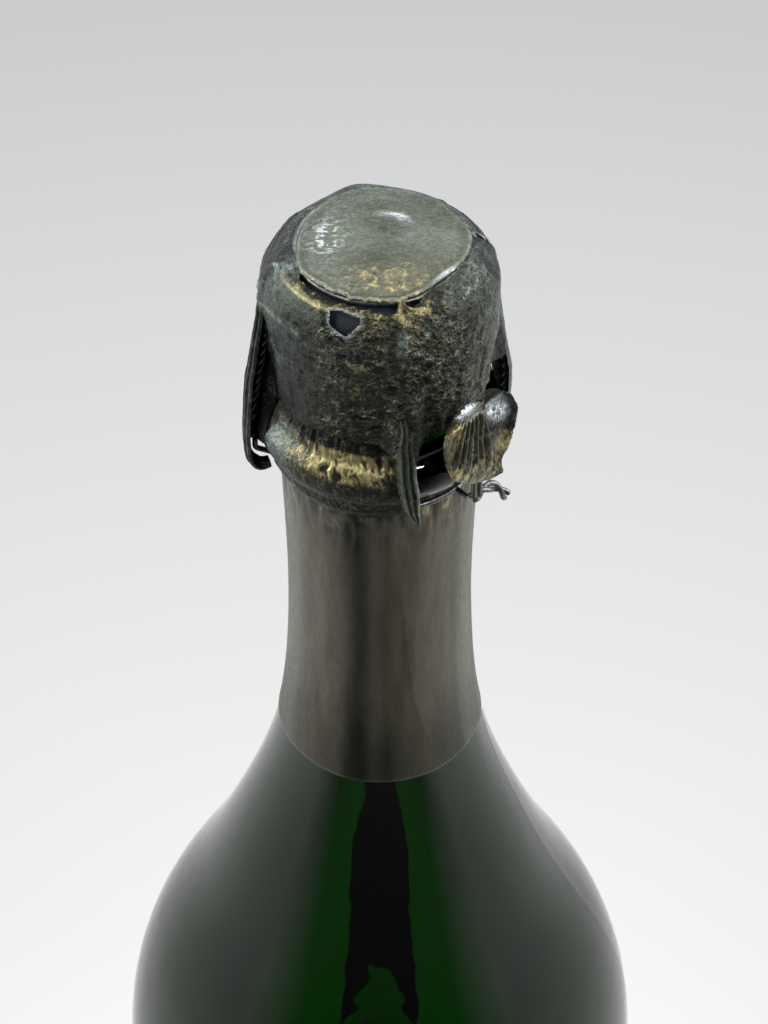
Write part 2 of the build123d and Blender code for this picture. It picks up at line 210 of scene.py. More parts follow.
def foil_piece(name, grid, closed, material, tints, keep=None, skin=FOIL_SKIN):
    """Thin foil from a grid of outer points, given its thickness inwards."""
    rows, cols = grid.shape[:2]
    piece = mesh_piece(
        name, grid.reshape(-1, 3), grid_faces(rows, cols, closed, keep), material, tints
    )
    drop_loose(piece)
    wall = piece.modifiers.new("skin", "SOLIDIFY")
    wall.thickness = skin * MM
    wall.offset = -1
    return plain_mesh(piece)


def dress(piece, body, slot, *nodes):
    """Put a finished piece on its body, in place of its CAD nodes."""
    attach(piece, body)
    if nodes:
        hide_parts(*nodes)
    return piece


# Materials

# Settings of sums in a material; a held one keeps its result between 0 and 1
HELD_TIMES, HELD_MINUS, HELD_LARGER, HELD_SIZE, HELD_POWER, HELD_TIMES_PLUS = (
    {"operation": name, "use_clamp": True}
    for name in ("MULTIPLY", "SUBTRACT", "MAXIMUM", "ABSOLUTE", "POWER", "MULTIPLY_ADD")
)
MINUS, DIVIDE, TIMES, TIMES_PLUS = (
    {"operation": name} for name in ("SUBTRACT", "DIVIDE", "MULTIPLY", "MULTIPLY_ADD")
)
COLOURS = {"data_type": "RGBA"}


def add_node(tree, kind, settings=None, **inputs):
    """Add a node with its settings and inputs.

    An input goes by its name, or by n and its number. It is a value, a hex colour, another
    node's output, or a node, which stands for its first output."""
    node = tree.nodes.new(kind)
    for key, value in (settings or {}).items():
        setattr(node, key, value)
    for key, value in inputs.items():
        numbered = key[0] == "n" and key[1:].isdigit()
        socket = node.inputs[int(key[1:]) if numbered else key.replace("_", " ")]
        if isinstance(value, bpy.types.Node):
            value = value.outputs[0]
        if isinstance(value, bpy.types.NodeSocket):
            tree.links.new(value, socket)
        else:
            socket.default_value = linear(value) if isinstance(value, str) else value
    return node


class Finish:
    """A material under construction, with its patterns on the piece's own coordinates."""

    def __init__(self, name):
        self.material = bpy.data.materials.new(name)
        self.material.use_nodes = True
        self.material.node_tree.nodes.clear()
        self.place = self.add("TexCoord").outputs["Object"]

    def add(self, kind, settings=None, **inputs):
        """Add a shader node to this material."""
        return add_node(self.material.node_tree, "ShaderNode" + kind, settings, **inputs)


def bronze_foil(
    name, dark, light, crinkle, rough,
    stretch=(1, 1, 1), depth=0.16, metal=0.75, worn=0.25, pits=1.0,
):
    """Old tinned capsule foil under bronze lacquer: rolled, wrapped on by hand and worn.

    The lacquer is a dull olive grey with a metal sheen, in a dark and a light tone, pitted
    black. Crinkles of a size in millimetres fold it, and their crests are worn pale. The
    piece's own attributes paint the rest: gold where the lacquer has rubbed thin, and painted
    gold glints and highlight lines, most of all on the crests; pale grey-green dust, and
    painted sheen, on what stands out; dark dirt, and painted shade, off the crests; bare
    silver metal, and painted glints; and calm where the foil lies smooth."""
    f = Finish(name)
    rolled = f.add("Mapping", Vector=f.place, Scale=stretch)
    cloud = f.add("TexNoise", Vector=rolled, Scale=1 / (4.0 * MM), Detail=4.0, Roughness=0.6)
    fine = f.add("TexNoise", Vector=rolled, Scale=1 / (0.3 * MM), Detail=5.0, Roughness=0.75)
    dust = f.add("TexNoise", Vector=f.place, Scale=1 / (0.8 * MM), Detail=5.0, Roughness=0.75)
    gap = 1.2 * crinkle * MM
    gaps = f.add("TexNoise", Vector=f.place, Scale=1 / gap, Detail=3.0, Roughness=0.6)
    creases = []
    for size in (crinkle, 0.45 * crinkle):
        noise = f.add("TexNoise", Vector=rolled, Scale=1 / (size * MM), Detail=2.5, Roughness=0.6)
        creases.append(f.add("Math", HELD_SIZE, n0=f.add("Math", MINUS, n0=noise, n1=0.5)))
    broad, narrow = creases
    painted = {
        label: f.add("Attribute", {"attribute_name": label}).outputs["Fac"]
        for label in ("gold", "dust_and_sheen", "soot_and_shade", "tin_and_glint", "calm")
    }
    crushed = f.add("Math", HELD_MINUS, n0=1.0, n1=painted["calm"])
    broad_line = f.add("MapRange", n0=broad, n1=0.034, n2=0.014)
    narrow_line = f.add("MapRange", n0=narrow, n1=0.045, n2=0.02)
    crest = f.add("Math", HELD_LARGER, n0=broad_line, n1=narrow_line)
    for share in (f.add("MapRange", n0=gaps, n1=0.47, n2=0.58), crushed):
        crest = f.add("Math", HELD_TIMES, n0=crest, n1=share)
    clouded = f.add("MapRange", n0=cloud, n1=0.34, n2=0.66)
    colour = f.add("Mix", COLOURS, n0=clouded, n6=dark, n7=light).outputs[2]
    for amount, place, tone in (
        (pits, f.add("MapRange", n0=fine, n1=0.5, n2=0.72), "#14150f"),
        (worn, crest, "#a5a48e"),
        (painted["gold"], f.add("Math", HELD_TIMES_PLUS, n0=crest, n1=0.85, n2=0.15), "#c0b27e"),
        (painted["dust_and_sheen"], f.add("MapRange", n0=dust, n1=0.3, n2=0.65), "#98a7a0"),
        (painted["soot_and_shade"], f.add("Math", HELD_TIMES_PLUS, n0=crest, n1=-0.8, n2=1.1), "#0c0d0a"),
        (painted["tin_and_glint"], f.add("MapRange", n0=fine, n1=0.66, n2=0.4), "#e3eaee"),
    ):
        share = f.add("Math", HELD_TIMES, n0=amount, n1=place)
        colour = f.add("Mix", COLOURS, n0=share, n6=colour, n7=tone).outputs[2]
    roughness = f.add("MapRange", n0=fine, n1=0.3, n2=0.7, n3=rough[0], n4=rough[1])
    broad_fold = f.add("MapRange", n0=broad, n1=0.15, n2=0.0)
    narrow_fold = f.add("MapRange", n0=narrow, n1=0.12, n2=0.0)
    folds = f.add("Math", TIMES_PLUS, n0=narrow_fold, n1=0.45, n2=broad_fold)
    folds = f.add("Math", TIMES, n0=folds, n1=crushed)
    relief = f.add("Math", TIMES_PLUS, n0=fine, n1=0.5, n2=folds)
    normal = f.add("Bump", Height=relief, Strength=0.85, Distance=depth * MM)
    lacquer = f.add(
        "BsdfPrincipled", Base_Color=colour, Metallic=metal, Roughness=roughness, Normal=normal
    )
    f.add("OutputMaterial", Surface=lacquer)
    return f.material


def green_glass():
    """Blown soda-lime glass, bottle green: clear where thin, nearly black where light runs far
    through it, with a faint ripple from the mould."""
    f = Finish("blown_bottle_glass")
    wave = f.add("TexNoise", Vector=f.place, Scale=1 / (14.0 * MM), Detail=2.0, Roughness=0.55)
    ripple = f.add("Bump", Height=wave, Strength=0.2, Distance=0.1 * MM)
    glass = f.add(
        "BsdfPrincipled",
        Base_Color="#dfe8d8", Roughness=0.02, IOR=1.5, Transmission_Weight=1.0, Normal=ripple,
    )
    body = f.add("VolumeAbsorption", Color="#7fd61e", Density=720.0)
    f.add("OutputMaterial", Surface=glass, Volume=body)
    return f.material


def still_wine():
    """Straw wine at rest, clear and faintly gold, which only shows through the glass."""
    f = Finish("straw_wine")
    haze = f.add("TexNoise", Vector=f.place, Scale=1 / (60.0 * MM), Detail=1.0, Roughness=0.55)
    tone = f.add("Mix", COLOURS, n0=haze, n6="#f4efd8", n7="#f8f4e2").outputs[2]
    liquid = f.add(
        "BsdfPrincipled", Base_Color=tone, Roughness=0.0, IOR=1.34, Transmission_Weight=1.0
    )
    body = f.add("VolumeAbsorption", Color="#e8cf6a", Density=9.0)
    f.add("OutputMaterial", Surface=liquid, Volume=body)
    return f.material


def label_paper():
    """Uncoated laid paper, with faint fibres and a slightly yellowed tone. Its fibres are drawn
    0.7 mm wide, far coarser than real ones, so that they show."""
    f = Finish("uncoated_label_paper")
    laid = f.add("Mapping", Vector=f.place, Scale=(1, 1, 0.35))
    fibre = f.add("TexNoise", Vector=laid, Scale=1 / (0.7 * MM), Detail=5.0, Roughness=0.7)
    age = f.add("TexNoise", Vector=f.place, Scale=1 / (22.0 * MM), Detail=3.0, Roughness=0.55)
    fibres = f.add("MapRange", n0=fibre, n1=0.3, n2=0.7)
    stain = f.add("MapRange", n0=age, n1=0.5, n2=0.8)
    tone = f.add("Mix", COLOURS, n0=fibres, n6="#d9d0ba", n7="#e6dfcc").outputs[2]
    tone = f.add("Mix", COLOURS, n0=stain, n6=tone, n7="#cfc3a6").outputs[2]
    normal = f.add("Bump", Height=fibre, Strength=0.4, Distance=0.05 * MM)
    paper = f.add("BsdfPrincipled", Base_Color=tone, Roughness=0.85, Normal=normal)
    f.add("OutputMaterial", Surface=paper)
    return f.material


def agglomerate_cork():
    """Pressed cork granules of 2 to 4 mm in binder: mottled tan with dark seams."""
    f = Finish("agglomerate_cork")
    granule = 1 / (2.6 * MM)
    grain = f.add("TexVoronoi", Vector=f.place, Scale=granule).outputs["Color"]
    to_edge = f.add("TexVoronoi", {"feature": "DISTANCE_TO_EDGE"}, Vector=f.place, Scale=granule)
    seam = to_edge.outputs["Distance"]
    fleck = f.add("TexNoise", Vector=f.place, Scale=1 / (0.8 * MM), Detail=4.0, Roughness=0.55)
    pits = f.add("TexNoise", Vector=f.place, Scale=1 / (0.9 * MM), Detail=4.0, Roughness=0.55)
    shade = f.add("SeparateColor", Color=grain)
    tone = f.add("Mix", COLOURS, n0=shade, n6="#b98f5e", n7="#8f6438").outputs[2]
    for pattern, start, end, over in ((fleck, 0.45, 0.7, "#c9a273"), (seam, 0.09, 0.0, "#553719")):
        share = f.add("MapRange", n0=pattern, n1=start, n2=end)
        tone = f.add("Mix", COLOURS, n0=share, n6=tone, n7=over).outputs[2]
    relief = f.add("Math", HELD_TIMES, n0=f.add("MapRange", n0=seam, n1=0.0, n2=0.12), n1=pits)
    normal = f.add("Bump", Height=relief, Strength=0.6, Distance=0.25 * MM)
    cork = f.add("BsdfPrincipled", Base_Color=tone, Roughness=0.8, Normal=normal)
    f.add("OutputMaterial", Surface=cork)
    return f.material


def natural_cork():
    """Cork punched along the bark: fine, light, with dark pores across the grain."""
    f = Finish("natural_cork")
    bark = f.add("Mapping", Vector=f.place, Scale=(1, 1, 3))
    pores = f.add("TexNoise", Vector=bark, Scale=1 / (1.6 * MM), Detail=5.0, Roughness=0.7)
    grain = f.add("TexNoise", Vector=f.place, Scale=1 / (6.0 * MM), Detail=3.0, Roughness=0.55)
    holes = f.add("MapRange", n0=pores, n1=0.6, n2=0.72)
    tone = f.add("Mix", COLOURS, n0=grain, n6="#c79f6c", n7="#b0854f").outputs[2]
    tone = f.add("Mix", COLOURS, n0=holes, n6=tone, n7="#4c2f16").outputs[2]
    normal = f.add("Bump", Height=pores, Strength=0.5, Distance=-0.2 * MM)
    cork = f.add("BsdfPrincipled", Base_Color=tone, Roughness=0.75, Normal=normal)
    f.add("OutputMaterial", Surface=cork)
    return f.material


def plate_lacquer():
    """Tin cap plate with navy lacquer, smooth and dull under fine dust."""
    f = Finish("navy_plate_lacquer")
    specks = f.add("TexNoise", Vector=f.place, Scale=1 / (0.5 * MM), Detail=5.0, Roughness=0.8)
    dust = f.add("MapRange", n0=specks, n1=0.5, n2=0.8)
    share = f.add("Math", HELD_TIMES, n0=dust, n1=0.35)
    tone = f.add("Mix", COLOURS, n0=share, n6="#1f2936", n7="#4f5a66").outputs[2]
    normal = f.add("Bump", Height=dust, Strength=0.2, Distance=0.03 * MM)
    lacquer = f.add("BsdfPrincipled", Base_Color=tone, Roughness=0.6, Normal=normal)
    f.add("OutputMaterial", Surface=lacquer)
    return f.material


def cage_wire():
    """Galvanised steel wire, drawn: silver grey with dull drawn streaks."""
    f = Finish("galvanised_wire")
    drawn = f.add("Mapping", Vector=f.place, Scale=(1, 1, 0.3))
    dull = f.add("TexNoise", Vector=drawn, Scale=1 / (0.6 * MM), Detail=4.0, Roughness=0.7)
    share = f.add("MapRange", n0=dull, n1=0.35, n2=0.7)
    tone = f.add("Mix", COLOURS, n0=share, n6="#8f918e", n7="#4c4c48").outputs[2]
    normal = f.add("Bump", Height=dull, Strength=0.3, Distance=0.03 * MM)
    zinc = f.add("BsdfPrincipled", Base_Color=tone, Metallic=1.0, Roughness=0.38, Normal=normal)
    f.add("OutputMaterial", Surface=zinc)
    return f.material


GLASS = green_glass()
WINE = still_wine()
# The crown's foil is painted lighter than the skirt's, as the lit top of the same foil
CROWN_FOIL = bronze_foil(
    "crown_foil_lacquer", "#525548", "#6d7063", 0.8, (0.3, 0.45),
    stretch=(0.65, 1, 1), depth=0.09, pits=0.6,
)
HOOD_FOIL = bronze_foil(
    "hood_foil_lacquer", "#232722", "#40453e", 1.6, (0.2, 0.37), depth=0.4, worn=0.2
)
NECK_FOIL = bronze_foil(
    "neck_foil_lacquer", "#4d493b", "#686454", 2.5, (0.36, 0.46),
    stretch=(1, 1, 0.2), depth=0.03, metal=0.55, worn=0.0, pits=0.3,
)
RING_FOIL = bronze_foil(
    "ring_foil_lacquer", "#23251f", "#3e4038", 1.3, (0.36, 0.5), depth=0.09, pits=0.6
)
STRIP_FOIL = bronze_foil(
    "strip_foil_lacquer", "#32342d", "#4a4d44", 1.8, (0.34, 0.48),
    stretch=(1, 1, 0.3), depth=0.035, worn=0.1,
)
PAPER = label_paper()
AGGLOMERATE = agglomerate_cork()
CORK = natural_cork()
LACQUER = plate_lacquer()
WIRE = cage_wire()

# CAD nodes that keep their shape
for node, material in {
    "bottle_glass": GLASS,
    "front_label": PAPER,
    "back_label": PAPER,
    "cork_body": AGGLOMERATE,
    "cork_disc_upper": CORK,
    "cork_disc_lower": CORK,
    "cage_top_ring": WIRE,
    "cage_belt": WIRE,
    "key_loop": WIRE,
}.items():
    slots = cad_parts[node].data.materials
    for index in range(len(slots)):
        slots[index] = material


def turned_piece(name, corners, cols, material, shape=None):
    """Closed solid of revolution from a closed outline of (radius, height) corners."""
    corners = np.array(corners, float)
    turn, row = np.meshgrid(np.arange(cols) * 360 / cols, np.arange(len(corners)))
    radius, height = corners[row, 0], corners[row, 1]
    if shape is not None:
        radius, height = shape(turn, radius, height)
    points = ring_points(turn, radius, height).reshape(-1, 3)
    piece = mesh_piece(name, points, grid_faces(len(corners), cols, True), material)
    drop_loose(piece)
    return piece


# Neck, shoulder and the wine inside them

SHOULDER_START, WAIST_HEIGHT, WAIST_RADIUS, BODY_RADIUS = 118.0, 255.0, 13.4, 44.2
BODY_WALL, WAIST_WALL = 5.2, 4.2
# Shares of the shoulder's rise, and of the radius that it still has to lose there
SHOULDER_SHARES = (
    (0, 1), (0.12, 0.990), (0.23, 0.942), (0.34, 0.792), (0.45, 0.552), (0.56, 0.346),
    (0.67, 0.175), (0.78, 0.062), (0.89, 0.014), (1, 0),
)
PUNT_DEPTH, PUNT_WALL, FLOOR_WALL, FLOOR_CORNER, FLOOR_FLAT = 33.0, 7.5, 7.0, 4.0, 0.6
# Shares of the punt's radius and rise, from its top out
PUNT_CURVE = (
    (0, 1), (0.2, 0.975), (0.36, 0.88), (0.52, 0.75), (0.7, 0.54), (0.88, 0.28), (0.96, 0.12),
    (1, 0),
)
WINE_LEVEL = 253.0
# The wine goes this far into the glass, so that no film of air shines between them
WINE_INTO_GLASS = 0.15
WINE_COLS = 192


def smooth_through(xs, ys, at):
    """Cubic spline through points, level at both ends."""
    count = len(xs)
    step = np.diff(xs)
    matrix, right = np.zeros((count, count)), np.zeros(count)
    for i in range(1, count - 1):
        matrix[i, i - 1 : i + 2] = step[i - 1], 2 * (step[i - 1] + step[i]), step[i]
        right[i] = 6 * ((ys[i + 1] - ys[i]) / step[i] - (ys[i] - ys[i - 1]) / step[i - 1])
    matrix[0, :2], right[0] = (2 * step[0], step[0]), 6 * (ys[1] - ys[0]) / step[0]
    matrix[-1, -2:], right[-1] = (step[-1], 2 * step[-1]), -6 * (ys[-1] - ys[-2]) / step[-1]
    bend = np.linalg.solve(matrix, right)
    at = np.clip(at, xs[0], xs[-1])
    i = np.clip(np.searchsorted(xs, at) - 1, 0, count - 2)
    h, left, rest = step[i], at - xs[i], xs[i + 1] - at
    return (
        bend[i] * rest**3 / (6 * h) + bend[i + 1] * left**3 / (6 * h)
        + (ys[i] / h - bend[i] * h / 6) * rest + (ys[i + 1] / h - bend[i + 1] * h / 6) * left
    )


def shoulder_radius(height, lower, upper):
    """Radius of the shoulder at a height, between a lower and an upper radius."""
    rise = WAIST_HEIGHT - SHOULDER_START
    heights = np.array([SHOULDER_START + up * rise for up, out in SHOULDER_SHARES])
    radii = np.array([upper + out * (lower - upper) for up, out in SHOULDER_SHARES])
    return smooth_through(heights, radii, height)


def wine():
    """The wine, filling the glass up to the air space under the cork."""
    side = BODY_RADIUS - BODY_WALL + WINE_INTO_GLASS
    neck = WAIST_RADIUS - WAIST_WALL + WINE_INTO_GLASS
    corner = side - WINE_INTO_GLASS - FLOOR_CORNER
    foot = corner - FLOOR_FLAT
    floor = FLOOR_WALL - WINE_INTO_GLASS
    rise = PUNT_DEPTH + PUNT_WALL - FLOOR_WALL
    punt = [(foot * out, floor + rise * up) for out, up in PUNT_CURVE]
    arc = FLOOR_CORNER + WINE_INTO_GLASS
    corner_arc = [
        (corner + arc * sin(radians(a)), floor + arc * (1 - cos(radians(a))))
        for a in range(0, 91, 15)
    ]
    heights = np.linspace(SHOULDER_START, WINE_LEVEL, 90)
    wall = list(zip(shoulder_radius(heights, side, neck), heights))
    top = wall[-1][0]
    level = WINE_LEVEL - 0.6
    meniscus = [(top - 0.5, WINE_LEVEL - 0.35), (top - 1.4, level), (0, level)]
    return turned_piece("wine", punt + corner_arc + wall + meniscus, WINE_COLS, WINE)


dress(wine(), "bottle", "wine", "wine_fill")


# Pressed cap plate

# Closed outline of the pressed tin, over its boss and out to its rim, then back under it
PLATE_SHELL = [
    (0, 317.3), (9.7, 317.3), (10.05, 317.2), (10.25, 316.95), (10.5, 316.2), (10.75, 316.05),
    (12.1, 316.0), (12.6, 315.85), (13.6, 315.15), (14.3, 314.35), (14.75, 313.3), (14.95, 312.3),
    (15.02, 312.05), (14.9, 311.95), (14.78, 312.1), (14.58, 313.2), (14.1, 314.15), (13.4, 314.9),
    (12.5, 315.55), (12.1, 315.7), (10.65, 315.75), (10.2, 315.95), (9.9, 316.75), (9.6, 316.95),
    (0, 316.95),
]
PLATE_COLS = 360


def dented_by_legs(turn, radius, height):
    """Press the plate's rim in under each leg of the cage."""
    for azimuth in LEG_AZIMUTHS.values():
        radius = radius - 0.5 * near(turn, azimuth, 3.2) * ease(radius, 13.4, 14.6)
    return radius, height


plate = turned_piece("cap_plate_pressed", PLATE_SHELL, PLATE_COLS, LACQUER, dented_by_legs)
dress(plate, "cage", "plate_lacquer", "cap_plate")


# Foil hood

CROWN_ROWS, CROWN_COLS = 60, 480
SKIRT_ROWS, SKIRT_COLS = 108, 440
CROWN_RADIUS = 11.75
# Radii at which noise that runs round the hood is read
CROWN_WALK, CROWN_FANS, SKIRT_WALK = 12.0, 9.0, 12.5
CRACK_START, CRACK_END = -74.0, 34.0
SKIRT_OUTLINE = [
    (11.4, 317.3), (12.3, 317.25), (13.2, 317.05), (14.0, 316.72), (14.75, 316.1), (15.4, 315.3),
    (15.95, 314.1), (16.25, 312.9), (16.3, 311.8), (16.2, 308.55), (15.7, 301.5), (15.2, 294.8),
]
# Where the crown's edge stands out or in: azimuth, how far, and over how many degrees
EDGE_SWELLS = (
    (-110, -0.75, 40), (-63, 0.5, 11), (-35, -0.1, 18), (8, 0.4, 14), (47, -0.75, 18),
    (97, 0.7, 17), (165, -0.4, 25),
)


def crack_share(azimuth):
    """1 along the torn front of the crown's edge, 0 where it is whole."""
    turn = turn_from(azimuth, 0)
    return ease(turn, CRACK_START, CRACK_START + 26) * ease(turn, CRACK_END, CRACK_END - 12)


def crown_edge(azimuth):
    """Radius of the crown's edge before it is torn."""
    return CROWN_RADIUS + sum(out * near(azimuth, at, wide) for at, out, wide in EDGE_SWELLS)


def hood_crown():
    """Flat top of the hood: a worn disc with a raised rim, torn loose along the front."""
    azimuth = np.arange(CROWN_COLS) * 360 / CROWN_COLS
    share = np.linspace(0, 1, CROWN_ROWS) ** 0.9
    turn, out = np.meshgrid(azimuth, share)
    torn = crack_share(turn)
    edge_walk = ring_points(turn, CROWN_WALK, 0)
    ragged = 0.26 * layered_noise(edge_walk, 1.3, 11) + 0.2 * smooth_noise(edge_walk, 0.42, 17)
    edge = crown_edge(turn) + 0.06 * layered_noise(edge_walk, 4.0, 5) + torn * ragged
    radius = edge * out
    flat = ring_points(turn, radius, 0)
    crumple = near(turn, -4, 40) * ease(radius, 3.8, 6) * ease(radius, 11.4, 9.5)
    fans = creased_noise(ring_points(turn, CROWN_FANS, radius * 0.25), 0.9, 25, 2)
    relief = (
        0.05 * layered_noise(flat, 6.0, 21)
        + 0.018 * creased_noise(flat * (0.5, 1, 1), 0.9, 31, 2)
        + 0.02 * creased_noise(flat, 0.8, 35, 2) * near(turn, -96, 30) * hump(radius, 7.2, 2.6)
        + 0.03 * fans * ease(radius, 6, 10) * near(turn, 50, 35)
        + 0.085 * crumple * creased_noise(flat, 1.25, 41)
    )
    near_edge = ease(edge - radius, 0.8, 0.15)
    uneven = 0.3 + 0.7 * ease(smooth_noise(flat, 8.0, 3), -0.4, 0.6)
    valley = 0.16 * hump(edge - radius, 1.3, 0.5) * uneven
    rim = 0.09 * hump(edge - radius, 0.4, 0.35)
    fold_down = 0.5 * ease(edge - radius, 0.45, 0) ** 2 * (1 - 0.35 * torn)
    lift = -0.17 + relief - valley + rim
    height = HOOD_TOP + np.minimum(lift, -0.005) - fold_down
    grid = ring_points(turn, radius, height)
    scratches = near(turn, -96, 24) * hump(radius, 7.2, 2.0)
    web = ease(creased_noise(flat * (0.6, 1, 1), 0.8, 51, 2), 0.3, 0.9)
    # Painted highlight along the crown's edge on the right
    edge_highlight = near(turn, 54, 9) * hump(edge - radius, 0.3, 0.5)
    # Painted sheen: paler towards the left and the back
    leftward = 0.3 * ease(flat[..., 0], 0, -8) + 0.3 * ease(flat[..., 1], 6, 11)
    # Painted highlight: a thin pale line along the rim
    rim_line = hump(edge - radius, 0.28, 0.2)
    # Painted glint on the disc towards the back
    glint = near(turn, 158, 19) * hump(radius + 0.4 * smooth_noise(flat, 0.9, 57), 5.8, 0.6)
    tints = {
        "gold": np.clip(
            1.8 * crumple * ease(relief, 0.01, 0.08) + 1.2 * near_edge * torn + 0.25 * crumple, 0, 2
        ),
        "dust_and_sheen": np.clip(
            0.1 + 0.5 * rim_line + 1.0 * edge_highlight + leftward + 0.2 * smooth_noise(flat, 5.0, 55), 0, 1
        ),
        "tin_and_glint": np.clip(1.8 * scratches * web + 1.3 * glint + 0.8 * edge_highlight, 0, 1.4),
        # Painted shade in the disc's dips and in the groove inside the rim
        "soot_and_shade": np.clip(
            0.6 * ease(relief, -0.08, -0.16) + 0.25 * hump(edge - radius, 1.0, 0.35), 0, 0.8
        ),
    }
    return foil_piece("hood_crown", grid, True, CROWN_FOIL, tints)


def outline_distance(u, v, corners, closed=True):
    """Distance to a run of corners on the flattened foil, and the nearest point on it.

    Inside a closed run the distance is negative."""
    nearest = np.full(u.shape, 1e9)
    inside = np.zeros(u.shape, bool)
    near_u, near_v = u.copy(), v.copy()
    ends = corners[1:] + (corners[:1] if closed else [])
    for (au, av), (bu, bv) in zip(corners, ends):
        du, dv = bu - au, bv - av
        along = np.clip(((u - au) * du + (v - av) * dv) / (du * du + dv * dv), 0, 1)
        pu, pv = au + along * du, av + along * dv
        gap = np.hypot(u - pu, v - pv)
        closer = gap < nearest
        nearest = np.where(closer, gap, nearest)
        near_u, near_v = np.where(closer, pu, near_u), np.where(closer, pv, near_v)
        crosses = (av > v) != (bv > v)
        inside ^= crosses & (u < au + (v - av) * du / (dv or 1e-9))
    return np.where(inside & closed, -nearest, nearest), near_u, near_v


# Places on the flattened skirt: arc length round from an azimuth, and length down its outline
TEAR_AZIMUTH = -18.5
FLAT_RADIUS = 15.0
TEAR_CORNERS = [(-2.3, 2.75), (-0.7, 2.45), (2.2, 3.0), (2.2, 3.75), (0.6, 5.7), (-1.75, 4.75)]
# Creases pressed into the skirt: azimuth and length down, then height, width and how pale
CREASES = (
    ([(-66, 1.5), (-74, 2.2), (-79, 3.6), (-80, 5.4), (-81, 8.0)], 0.34, 0.45, 0.9),
    ([(-122, 0.8), (-106, 0.9), (-93, 1.2), (-84, 2.2)], 0.16, 0.3, 0.9),
    ([(-80, 8.2), (-72, 9.2), (-60, 8.2), (-49, 7.7), (-41, 8.0), (-36, 9.0)], 0.16, 0.4, 0.75),
    ([(13, 0.4), (11.5, 1.6), (10, 2.8), (12, 4.4), (11, 7.0), (15, 11)], 0.3, 0.36, 0.0),
    ([(13, 0.2), (19, 1.9), (26, 2.6)], 0.12, 0.3, 0.0),
    ([(70, 9.5), (78, 13), (84, 18)], 0.2, 0.6, 0.4),
    ([(62, 20.5), (50, 19), (38, 20), (30, 21.5)], 0.14, 0.5, 0.1),
    ([(140, 3), (150, 7), (146, 13), (158, 18)], 0.18, 0.5, 0.2),
    ([(230, 4), (238, 9), (233, 15), (246, 20)], 0.18, 0.5, 0.2),
)
# How wide the crown's edge gapes, and how near the tear's edge a point is drawn on to it
CRACK_WIDTH, SNAP_REACH = 1.4, 0.13
# How far the back of the brow sinks, and the foil's distance from the middle of a leg's wire
BACK_SUNK, WIRE_COVER = 1.15, 0.72
# Radius of the hood's wall, and half the width and the top of its slot behind the left strip
WALL_RADIUS, SLOT_HALF, SLOT_TOP = 16.0, 1.0, 304.0
# Pale spots rubbed on the hood: azimuth, height and radius
GREY_SPOTS = (
    (10.7, 314.7, 0.9), (11.0, 313.1, 0.8), (10.0, 312.2, 0.7), (19.0, 311.9, 0.8),
    (23.0, 314.3, 0.6),
)


